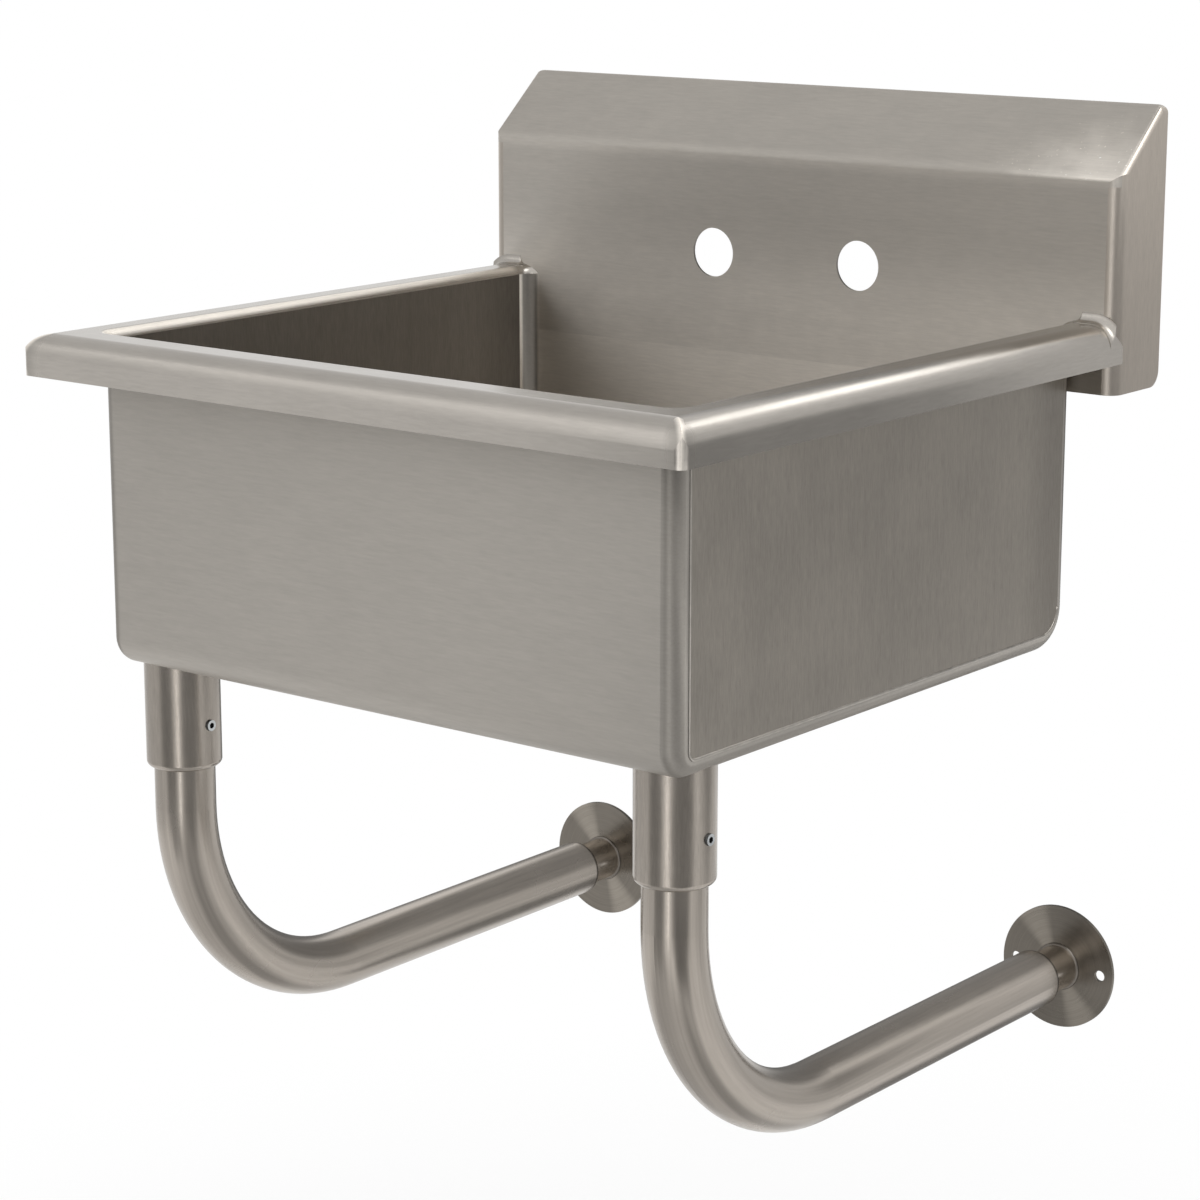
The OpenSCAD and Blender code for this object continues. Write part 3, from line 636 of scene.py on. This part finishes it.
def matt_stuff(name, tone, roughness, grain_size):
    """Rubber or fibre: not a metal, with a fine uneven skin."""
    made, tree, shader, place = blank_material(name)
    skin = cloud_over(tree, place, grain_size)
    colour = vary(tree, skin, tone, *SKIN_TONES)
    matt = between(tree, skin, roughness + SKIN_MATT, roughness)
    wire(tree, shader, colour, matt, metallic=0.0)
    roughen(tree, shader, skin, SKIN_DEPTH)
    return made


def paint(material, *nodes):
    """Gives CAD nodes their finish."""
    for node in nodes:
        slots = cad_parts[node].data.materials
        slots.clear()
        slots.append(material)


def object_from(mesh_maker, name, material):
    """Turns a bmesh into an object of one material."""
    mesh = bpy.data.meshes.new(name)
    mesh_maker.to_mesh(mesh)
    mesh_maker.free()
    mesh.materials.append(material)
    made = bpy.data.objects.new(name, mesh)
    bpy.context.scene.collection.objects.link(made)
    return made


def finish_piece(mesh_maker, name, body, material):
    """Turns a bmesh into a piece that rides on a body."""
    bmesh.ops.recalc_face_normals(mesh_maker, faces=mesh_maker.faces)
    piece = object_from(mesh_maker, name, material)
    piece.data.shade_smooth()
    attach(piece, body)
    return piece


class SINK_OT_bowl(Operator):
    """Finish the bowl's wrapped sheet and side panels"""

    bl_idname = "sink.bowl"
    bl_label = "Bowl"

    def execute(self, context):
        finish = context.scene.sink_finish
        wrap = steel(
            "bowl sheet", finish.sheet_tone, GRAIN_ALONG_X,
            finish.sheet_roughness - WRAP_SHINE, tangent_axis="X", anisotropy=0.85,
            zones=(
                # Painted light: the bowl's inside is made lighter
                Zone(facing_in, tone=1.67, roughness=finish.sheet_roughness),
                # Painted shade: the upright bends are made darker
                Zone(upright_bend, tone=0.80, roughness=0.55),
                # Painted shade: the upright bends inside the bowl are made darker still
                Zone(self.inner_bend, tone=0.45),
            ),
        )
        warm_shaded_tone = tuple(part * share for part, share in zip(finish.sheet_tone, SIDE_TINT_AND_SHADE))
        side = steel(
            "bowl side", warm_shaded_tone, GRAIN_ALONG_Z, finish.sheet_roughness - SIDE_SHINE,
            spread=0.13, cloud_spread=0.04, tangent_axis="Z", anisotropy=0.6,
            # Painted shade: the side panels' inner faces and rear edges are made darker
            zones=(Zone(facing_in, tone=0.55), Zone(self.rear_edge_shade, tone=0.80)),
        )
        paint(wrap, "bowl_wrap")
        paint(side, "bowl_side_left", "bowl_side_right")
        return {"FINISHED"}

    def inner_bend(self, tree, place):
        """Zone of the upright bends inside the bowl, where shade is painted."""
        return overlap(tree, facing_in(tree, place), upright_bend(tree, place))

    def rear_edge_shade(self, tree, place):
        """Zone of a side panel's rear edge, where shade is painted."""
        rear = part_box("bowl_side_right")[1].y
        start, end = (rear - reach for reach in REAR_EDGE_REACH)
        return rise(tree, parts_of(tree, place)["Y"], start, end)


class SINK_OT_rim(Operator):
    """Finish the front rim and both side rims"""

    bl_idname = "sink.rim"
    bl_label = "Rim"

    def execute(self, context):
        finish = context.scene.sink_finish
        roughness = finish.rim_roughness
        front = steel(
            "rim front", finish.sheet_tone, GRAIN_ALONG_X, roughness,
            tangent_axis="X", anisotropy=0.3,
            # Painted light: the front rim's skirt is made lighter
            zones=(Zone(self.skirt, tone=1.22), *self.corner_zones()),
        )
        side = steel(
            "rim side", finish.sheet_tone, GRAIN_ALONG_Y, roughness,
            tangent_axis="Y", anisotropy=0.3,
            # Painted highlight along each side rim's inner roll
            zones=(Zone(self.inner_roll_highlight, tone=1.9, roughness=0.5), *self.corner_zones()),
        )
        paint(front, "rim_front")
        paint(side, "rim_left", "rim_right")
        return {"FINISHED"}

    def skirt(self, tree, place):
        """Zone of the rim's upright skirt, where light is painted."""
        return fall(tree, normal_along(tree, "Z"), *SKIRT_NORMALS)

    def inner_roll_highlight(self, tree, place):
        """Zone where a side rim turns down into the bowl, which gets a painted highlight."""
        up = normal_along(tree, "Z")
        parts = parts_of(tree, place)
        off = math_node(tree, "ABSOLUTE", parts["X"])
        inner = math_node(tree, "LESS_THAN", off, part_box("rim_right")[1].x - RIM_TOP_WIDTH)
        ahead = fall(tree, parts["Y"], *ROLL_END, smooth=False)
        curved = overlap(tree, rise(tree, up, *ROLL_NORMALS), fall(tree, up, *FLAT_NORMALS))
        return overlap(tree, curved, inner, ahead)

    def corner_zones(self):
        """The dressed weld down each front corner: the duller steel beside it, with painted shade,
        and its crest, with a painted highlight.
        """
        low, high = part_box("rim_right")
        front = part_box("rim_front")[0].y

        def off_mitre(tree, place):
            """Distance from the mitre, which is large away from the corner."""
            parts = parts_of(tree, place)
            inward = math_node(tree, "SUBTRACT", high.x, math_node(tree, "ABSOLUTE", parts["X"]))
            back = math_node(tree, "SUBTRACT", parts["Y"], front)
            away = rise(
                tree, math_node(tree, "MAXIMUM", inward, back), *CORNER_REACH, smooth=False,
            )
            return math_node(tree, "ADD", apart(tree, inward, back), away)

        def flank_shade(tree, place):
            """Zone beside the crest, on the skirt's lower part, where shade is painted."""
            beside = fall(tree, off_mitre(tree, place), *FLANK_WIDTH)
            start, end = (low.z + height for height in FLANK_HEIGHT)
            return overlap(tree, beside, fall(tree, parts_of(tree, place)["Z"], start, end))

        def crest(tree, place):
            """Zone of the crest's painted highlight, which wanders and is widest at the skirt's
            lower edge.
            """
            start, end = (low.z + height for height in CREST_NARROWS)
            width = remap(tree, parts_of(tree, place)["Z"], start, end, *CREST_WIDTH)
            waves = noise(tree, place, CREST_WAVES, detail=1.0)
            wander = math_node(tree, "MULTIPLY", waves, CREST_WANDER)
            off = math_node(tree, "ADD", off_mitre(tree, place), wander)
            return fall(tree, math_node(tree, "DIVIDE", off, width), *CREST_EDGE)

        # Painted shade beside the weld and a painted highlight on its crest
        return (Zone(flank_shade, tone=0.8, roughness=0.34), Zone(crest, tone=2.2, roughness=0.5))


class SINK_OT_splash(Operator):
    """Finish the splash panel and its end caps"""

    bl_idname = "sink.splash"
    bl_label = "Splash"

    def execute(self, context):
        finish = context.scene.sink_finish
        # Painted light: the splash panel is made lighter than the bowl's sheet
        panel = steel(
            "splash panel", shade(finish.sheet_tone, 1.14), GRAIN_ALONG_X,
            finish.sheet_roughness, cloud_spread=0.04, cloud_size=0.03, tangent_axis="X",
            zones=(
                # Painted light on the splash's lower front
                Zone(self.lower_front_light, tone=1.34),
                # Painted highlight along the splash's bend
                Zone(self.bend_highlight, tone=1.16),
                # Painted highlight over the polished weld at the slope's right end
                Zone(self.polished_end_highlight, tone=1.5, roughness=0.4),
                # Painted glints round the polished weld
                Zone(self.glint_specks, tone=1.6),
            ),
        )
        # Painted light: the caps are made lighter than the sheet, and less so on their fronts
        cap = steel(
            "splash cap", shade(finish.tube_tone, 1.5), GRAIN_ALONG_Z,
            finish.sheet_roughness - CAP_SHINE, spread=0.08, tangent_axis="Z", anisotropy=0.8,
            zones=(
                Zone(self.cap_front, tone=0.8),
                Zone(upright_bend, tone=1.0, roughness=0.3),
            ),
        )
        paint(panel, "splash_panel")
        paint(cap, "splash_cap_left", "splash_cap_right")
        return {"FINISHED"}

    def lower_front_light(self, tree, place):
        """Zone of the front's lower part, which meets the bowl's back wall, where light is painted.
        """
        return fall(tree, parts_of(tree, place)["Z"], *LOWER_FRONT)

    def bend_highlight(self, tree, place):
        """Zone round the bend from the splash's front to its slope, where a highlight is painted.
        """
        low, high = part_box("splash_panel")
        parts = parts_of(tree, place)
        band = fall(tree, apart(tree, parts["Z"], high.z - SLOPE_HEIGHT), *BEND_WIDTH)
        start, end = (low.y + depth for depth in BEND_DEPTH)
        ahead = fall(tree, parts["Y"], start, end, smooth=False)
        return overlap(tree, band, ahead)

    def from_end(self, tree, place):
        """Distance from the weld at the slope's right end, as a share, and 1 on the slope only."""
        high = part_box("splash_panel")[1]
        end_x, end_y, end_z = SLOPE_END
        off = vector_node(tree, "SUBTRACT", place, (high.x - end_x, end_y, high.z - end_z))
        out = length(tree, vector_node(tree, "MULTIPLY", off, END_SQUEEZE))
        return out, rise(tree, normal_along(tree, "Z"), *SLOPE_NORMALS, smooth=False)

    def polished_end_highlight(self, tree, place):
        """Zone of the slope's right end, where the weld was ground and polished, with a painted
        highlight over it.
        """
        out, slope = self.from_end(tree, place)
        cloud = cloud_over(tree, place, POLISH_CLOUD)
        uneven = math_node(tree, "ADD", out, math_node(tree, "MULTIPLY", cloud, POLISH_UNEVEN))
        return overlap(tree, slope, fall(tree, uneven, *POLISH_REACH))

    def glint_specks(self, tree, place):
        """A few painted glints round the polished weld."""
        out, slope = self.from_end(tree, place)
        spots = noise(tree, place, SPECKS_PER_METRE, detail=0.0)
        spots = rise(tree, spots, *SPECK_NOISE, smooth=False)
        return overlap(tree, spots, slope, fall(tree, out, *SPECK_REACH, smooth=False))

    def cap_front(self, tree, place):
        """Zone of a cap's front, which is finished with the panel."""
        return fall(tree, normal_along(tree, "Y"), *CAP_NORMALS)


class SINK_OT_hanger(Operator):
    """Finish the hanger bracket behind the splash"""

    bl_idname = "sink.hanger"
    bl_label = "Hanger"

    def execute(self, context):
        zinc = plated("hanger zinc", context.scene.sink_finish.zinc_tone, roughness=0.34)
        paint(zinc, "wall_bracket")
        return {"FINISHED"}


class SINK_OT_legs(Operator):
    """Finish the leg sockets, the legs and their set screws"""

    bl_idname = "sink.legs"
    bl_label = "Legs"

    def execute(self, context):
        finish = context.scene.sink_finish
        socket = steel(
            "socket steel", finish.tube_tone, GRAIN_ALONG_Z, finish.tube_roughness,
            spread=0.10, tangent_axis="Z", anisotropy=0.3,
        )
        for side in ("left", "right"):
            paint(socket, f"leg_socket_{side}")
            paint(self.leg_steel(side, finish), f"leg_{side}")
            paint(self.screw_zinc(side, finish), f"set_screw_{side}")
        return {"FINISHED"}

    def leg_steel(self, side, finish):
        """Steel brushed along one leg, from the socket round its bend to the wall."""
        low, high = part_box(f"leg_{side}")
        half = (high.x - low.x) / 2
        centre = (low.x + half, low.y + half + finish.leg_bend, low.z + half + finish.leg_bend)

        def end_line_shade(tree, place):
            """Zone of the line round the leg's end, where its bush starts, with painted shade in
            the gap.
            """
            off = apart(tree, parts_of(tree, place)["Y"], high.y - END_LINE)
            return fall(tree, off, *END_LINE_WIDTH)

        def band(middle, width):
            """Maker of a zone that runs along the bend at an angle round the tube, where a band of
            reflection is painted.
            """
            def share(tree, place):
                x, y, z = parts_of(tree, vector_node(tree, "SUBTRACT", place, centre))
                flat = combine(tree, y, math_node(tree, "MINIMUM", z, 0.0))
                level = math_node(tree, "SUBTRACT", length(tree, flat), finish.leg_bend)
                off = apart(tree, math_node(tree, "ARCTAN2", x, level), middle)
                return overlap(
                    tree, fall(tree, off, width * BAND_CORE, width),
                    fall(tree, z, *BAND_TOP), fall(tree, y, *BAND_REAR),
                )

            return share

        def run_top_light(tree, place):
            """Zone of the top of the leg's run to the wall, where light is painted."""
            back = parts_of(tree, place)["Y"]
            run = rise(tree, back, centre[1] - RUN_START, centre[1] + RUN_START)
            return overlap(tree, rise(tree, normal_along(tree, "Z"), *TOP_NORMALS), run)

        return steel(
            f"leg steel {side}", finish.tube_tone,
            {"Bend centre": centre, "Bend radius": finish.leg_bend},
            finish.tube_roughness, spread=0.11,
            zones=(
                # Painted shade in the gap at the leg's end
                Zone(end_line_shade, tone=0.4),
                # Painted reflections: a darker band and a lighter band along the bend
                Zone(band(middle=0.85, width=0.24), tone=0.75),
                Zone(band(middle=0.45, width=0.3), tone=1.15),
                # Painted light on the top of the leg's run
                Zone(run_top_light, tone=1.35),
            ),
        )

    def screw_zinc(self, side, finish):
        """Zinc of one set screw, with painted shade in its recess, and darker on its thread."""
        low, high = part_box(f"set_screw_{side}")

        def recess(tree, place):
            """Zone of the hex recess, where shade is painted."""
            off = vector_node(tree, "SUBTRACT", place, tuple((low + high) / 2))
            out = length(tree, vector_node(tree, "MULTIPLY", off, YZ_ONLY))
            return fall(tree, out, *RECESS_RADIUS, smooth=False)

        def thread(tree, place):
            """Zone of the faces round the screw."""
            across = math_node(tree, "ABSOLUTE", normal_along(tree, "X"))
            return fall(tree, across, *THREAD_NORMALS, smooth=False)

        return plated(
            f"screw zinc {side}", finish.zinc_tone, roughness=0.18,
            # Painted shade in the recess; the thread is made darker too
            zones=(Zone(recess, tone=0.12, roughness=0.5), Zone(thread, tone=0.2, roughness=0.5)),
        )


class SINK_OT_feet(Operator):
    """Finish the stubs, bushes and wall flanges, and weld each stub to its flange"""

    bl_idname = "sink.feet"
    bl_label = "Wall feet"

    def execute(self, context):
        finish = context.scene.sink_finish
        bead = context.scene.sink_welds.foot_bead
        # Painted light: the stubs are made lighter than the tube steel
        stub = steel(
            "stub steel", shade(finish.tube_tone, 1.6), GRAIN_ALONG_Y,
            finish.tube_roughness, tangent_axis="Y", anisotropy=0.3,
        )
        bush = plated("bush zinc", finish.zinc_tone, roughness=0.3)
        weld = plated("foot weld", shade(finish.tube_tone, 0.6), roughness=0.3)
        for side in ("left", "right"):
            paint(stub, f"foot_stub_{side}")
            paint(bush, f"leg_bush_{side}")
            low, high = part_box(f"foot_flange_{side}")
            centre = (low + high) / 2
            turned = turned_steel(f"flange {side}", finish.flange_tone, centre)
            paint(turned, f"foot_flange_{side}")
            stub_low, stub_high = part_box(f"foot_stub_{side}")
            radius = (stub_high.x - stub_low.x) / 2
            ring = bmesh.new()
            start = Matrix.Translation((centre.x + radius, low.y, centre.z))
            bmesh.ops.create_circle(ring, segments=12, radius=bead, matrix=start)
            bmesh.ops.spin(
                ring, geom=ring.verts[:] + ring.edges[:], cent=(centre.x, low.y, centre.z),
                axis=(0, 1, 0), angle=math.tau, steps=72, use_merge=True, use_duplicate=False,
            )
            finish_piece(ring, f"foot_weld_{side}", f"foot_{side}", weld)
        return {"FINISHED"}


class SINK_OT_drain(Operator):
    """Finish the strainer, its seals and its nut"""

    bl_idname = "sink.drain"
    bl_label = "Drain"

    def execute(self, context):
        body = plated("strainer steel", STRAINER_TONE, roughness=0.16)
        nut = plated("locknut steel", STRAINER_TONE, roughness=0.3)
        rubber = matt_stuff("gasket rubber", RUBBER_TONE, roughness=0.7, grain_size=0.004)
        fibre = matt_stuff("washer fibre", FIBRE_TONE, roughness=0.85, grain_size=0.002)
        paint(body, "strainer_body")
        paint(nut, "locknut")
        paint(rubber, "strainer_gasket")
        paint(fibre, "friction_washer")
        return {"FINISHED"}


class SINK_OT_basket(Operator):
    """Finish the crumb basket and its post"""

    bl_idname = "sink.basket"
    bl_label = "Crumb basket"

    def execute(self, context):
        polished = plated("basket steel", BASKET_TONE, roughness=0.14)
        paint(polished, "crumb_basket", "basket_post")
        return {"FINISHED"}


class SINK_OT_seams(Operator):
    """Run a dressed weld bead round each side panel of the bowl"""

    bl_idname = "sink.seams"
    bl_label = "Seam beads"

    def execute(self, context):
        welds = context.scene.sink_welds
        tone = context.scene.sink_finish.sheet_tone
        # Painted highlight: the bead's crown is a little lighter than the sheet
        crown = plated("seam crown", shade(tone, 1.1), roughness=0.4)
        # Painted shade: the bead's toes are much darker
        toe = plated("seam toe", shade(tone, 0.45), roughness=0.5)
        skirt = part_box("rim_front")[0].z
        for side, sign in (("left", -1), ("right", 1)):
            low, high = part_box(f"bowl_side_{side}")
            plane = (high.x if sign > 0 else low.x) - sign * welds.seam_bead * BEAD_SUNK
            front = low.y + welds.front_turn
            rear = high.y - welds.rear_turn
            run = bmesh.new()
            start = Matrix.Translation((plane, low.y, skirt))
            bmesh.ops.create_circle(
                run, cap_ends=True, segments=18, radius=welds.seam_bead, matrix=start,
            )
            tip = run.faces[:]
            tip = self.straight(run, tip, Vector((0, 0, low.z + welds.front_turn - skirt)))
            tip = self.turn(run, tip, (plane, front, low.z + welds.front_turn))
            tip = self.straight(run, tip, Vector((0, rear - front, 0)))
            self.turn(run, tip, (plane, rear, low.z + welds.rear_turn))
            bmesh.ops.recalc_face_normals(run, faces=run.faces)
            # The toe faces on the bead's upright front part take the painted shade
            for face in run.faces:
                upright = face.calc_center_median().y < low.y + welds.front_turn / 2
                face.material_index = int(upright and abs(face.normal.x) < TOE_NORMAL)
            bead = finish_piece(run, f"seam_bead_{side}", "sink", crown)
            bead.data.materials.append(toe)
        return {"FINISHED"}

    def straight(self, run, tip, step):
        """Extrudes the end of the bead by a step and returns its new end."""
        tip = bmesh.ops.extrude_discrete_faces(run, faces=tip)["faces"]
        bmesh.ops.translate(run, verts=tip[0].verts, vec=step)
        return tip

    def turn(self, run, tip, centre):
        """Turns the end of the bead a quarter round a centre and returns its new end."""
        made = bmesh.ops.spin(
            run, geom=tip, cent=centre, axis=(1, 0, 0), angle=math.pi / 2, steps=10,
            use_merge=False, use_duplicate=False,
        )
        return [part for part in made["geom_last"] if isinstance(part, bmesh.types.BMFace)]


class SINK_OT_stage(Operator):
    """Set up the camera, the floor, the lamps and the studio round the sink"""

    bl_idname = "sink.stage"
    bl_label = "Stage"

    def execute(self, context):
        stage = context.scene.sink_stage
        self.make_camera(context, stage)
        self.make_floor(stage)
        self.make_lamps(context, stage)
        self.make_cards()
        self.make_world(context)
        context.scene.view_settings.view_transform = "Standard"
        return {"FINISHED"}

    def make_camera(self, context, stage):
        """A camera that stands level and looks down at the sink."""
        data = bpy.data.cameras.new("camera")
        data.lens = stage.lens
        data.sensor_width = SENSOR_WIDTH
        camera = bpy.data.objects.new("camera", data)
        camera.location = stage.camera_place
        level = math.cos(stage.elevation)
        back = Vector((
            math.sin(stage.azimuth) * level,
            -math.cos(stage.azimuth) * level,
            math.sin(stage.elevation),
        ))
        camera.rotation_mode = "QUATERNION"
        camera.rotation_quaternion = back.to_track_quat("Z", "Y")
        context.scene.collection.objects.link(camera)
        context.scene.camera = camera

    def make_floor(self, stage):
        """A pale round floor that fades to white away from the sink and is clear from below."""
        made, tree, surface, place = empty_material("floor paint")
        grey = put(tree, "ShaderNodeBsdfPrincipled", {}, Base_Color=FLOOR_GREY, Roughness=0.9)
        white = put(tree, "ShaderNodeEmission", {}, Color=WHITE, Strength=1.0)
        flat = vector_node(tree, "MULTIPLY", place, XY_ONLY)
        away = rise(tree, length(tree, flat), *FLOOR_FADE)
        seen = math_node(tree, "MULTIPLY", self.seen_ray(tree), away)
        above = mix_shaders(tree, seen, grey.outputs[0], white.outputs[0])
        below = tree.nodes.new("ShaderNodeNewGeometry").outputs["Backfacing"]
        clear = tree.nodes.new("ShaderNodeBsdfTransparent")
        tree.links.new(mix_shaders(tree, below, above, clear.outputs[0]), surface)
        shape = bmesh.new()
        level = Matrix.Translation((0, 0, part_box("rim_front")[1].z - stage.mounting_height))
        bmesh.ops.create_circle(
            shape, cap_ends=True, segments=96, radius=FLOOR_RADIUS, matrix=level,
        )
        floor = object_from(shape, "floor", made)

    def seen_ray(self, tree):
        """1 for rays of the camera, mirrors and clear materials, 0 for the light on the sink."""
        rays = tree.nodes.new("ShaderNodeLightPath").outputs
        total = math_node(tree, "ADD", rays["Is Camera Ray"], rays["Is Transmission Ray"])
        total = math_node(tree, "ADD", total, rays["Is Glossy Ray"])
        return math_node(tree, "MINIMUM", total, 1.0)

    def make_lamps(self, context, stage):
        """Area lamps round the sink, which all look at its middle."""
        for name, (towards, distance, width, height, level) in LAMPS.items():
            data = bpy.data.lights.new(name, "AREA")
            data.shape = "RECTANGLE"
            data.size = width
            data.size_y = height
            data.energy = level * stage.lamp_level * math.pi * width * height
            lamp = bpy.data.objects.new(name, data)
            away = Vector(towards).normalized()
            lamp.location = CAD_CENTRE + away * distance
            lamp.rotation_mode = "QUATERNION"
            lamp.rotation_quaternion = away.to_track_quat("Z", "Y")
            context.scene.collection.objects.link(lamp)

    def make_cards(self):
        """Round grey cards with soft edges, which glow at their level and show only in the steel as
        painted reflections.
        """
        for name, (place, full, whole, level) in CARDS.items():
            away = (Vector(place) - CAD_CENTRE).to_track_quat("Z", "Y").to_matrix().to_4x4()
            stand = Matrix.Translation(place) @ away
            shape = bmesh.new()
            bmesh.ops.create_circle(shape, cap_ends=True, segments=48, radius=whole, matrix=stand)
            grey_glow = self.card_glow(name, place, full, whole, level)
            card = object_from(shape, f"card {name}", grey_glow)
            for ray in ("camera", "diffuse", "shadow", "transmission"):
                setattr(card, f"visible_{ray}", False)

    def card_glow(self, name, place, full, whole, level):
        """A grey glow that thins out to nothing from the middle of a card to its edge."""
        made, tree, surface, spot = empty_material(f"card {name}")
        share = fall(tree, vector_node(tree, "DISTANCE", spot, place, out="Value"), full, whole)
        grey_glow = put(tree, "ShaderNodeEmission", {}, Color=(level, level, level, 1.0), Strength=1.0)
        clear = tree.nodes.new("ShaderNodeBsdfTransparent")
        tree.links.new(mix_shaders(tree, share, clear.outputs[0], grey_glow.outputs[0]), surface)
        return made

    def make_world(self, context):
        """A white room, which the steel mirrors where no card or lamp stands."""
        world = bpy.data.worlds.new("studio")
        world.use_nodes = True
        context.scene.world = world
        tree = world.node_tree
        tree.nodes.clear()
        light = put(tree, "ShaderNodeBackground", {}, Color=WHITE, Strength=1.0)
        output = tree.nodes.new("ShaderNodeOutputWorld")
        tree.links.new(light.outputs[0], output.inputs["Surface"])


STEPS = (
    SINK_OT_bowl, SINK_OT_rim, SINK_OT_splash, SINK_OT_hanger, SINK_OT_legs,
    SINK_OT_feet, SINK_OT_drain, SINK_OT_basket, SINK_OT_seams, SINK_OT_stage,
)


class SINK_PT_sidebar(Panel):
    """Lists the steps that finish the sink"""

    bl_idname = "SINK_PT_sidebar"
    bl_label = "Hand sink"
    bl_space_type = "VIEW_3D"
    bl_region_type = "UI"
    bl_category = "Hand sink"

    def draw(self, context):
        """Draws the settings and a button for each step."""
        for pointer in GROUPS:
            group = getattr(context.scene, pointer)
            box = self.layout.box()
            for name in type(group).__annotations__:
                box.prop(group, name)
        for step in STEPS:
            self.layout.operator(step.bl_idname)


GROUPS = {"sink_finish": SinkFinish, "sink_welds": SinkWelds, "sink_stage": SinkStage}


def register():
    """Registers the settings, the steps and the sidebar."""
    for group in GROUPS.values():
        bpy.utils.register_class(group)
    for step in STEPS:
        bpy.utils.register_class(step)
    bpy.utils.register_class(SINK_PT_sidebar)
    for name, group in GROUPS.items():
        setattr(bpy.types.Scene, name, PointerProperty(type=group))


def unregister():
    """Takes away what register has added."""
    for name in GROUPS:
        delattr(bpy.types.Scene, name)
    bpy.utils.unregister_class(SINK_PT_sidebar)
    for step in reversed(STEPS):
        bpy.utils.unregister_class(step)
    for group in reversed(GROUPS.values()):
        bpy.utils.unregister_class(group)


def main():
    register()
    bpy.ops.sink.bowl()
    bpy.ops.sink.rim()
    bpy.ops.sink.splash()
    bpy.ops.sink.hanger()
    bpy.ops.sink.legs()
    bpy.ops.sink.feet()
    bpy.ops.sink.drain()
    bpy.ops.sink.basket()
    bpy.ops.sink.seams()
    bpy.ops.sink.stage()


if __name__ == "__main__":
    main()
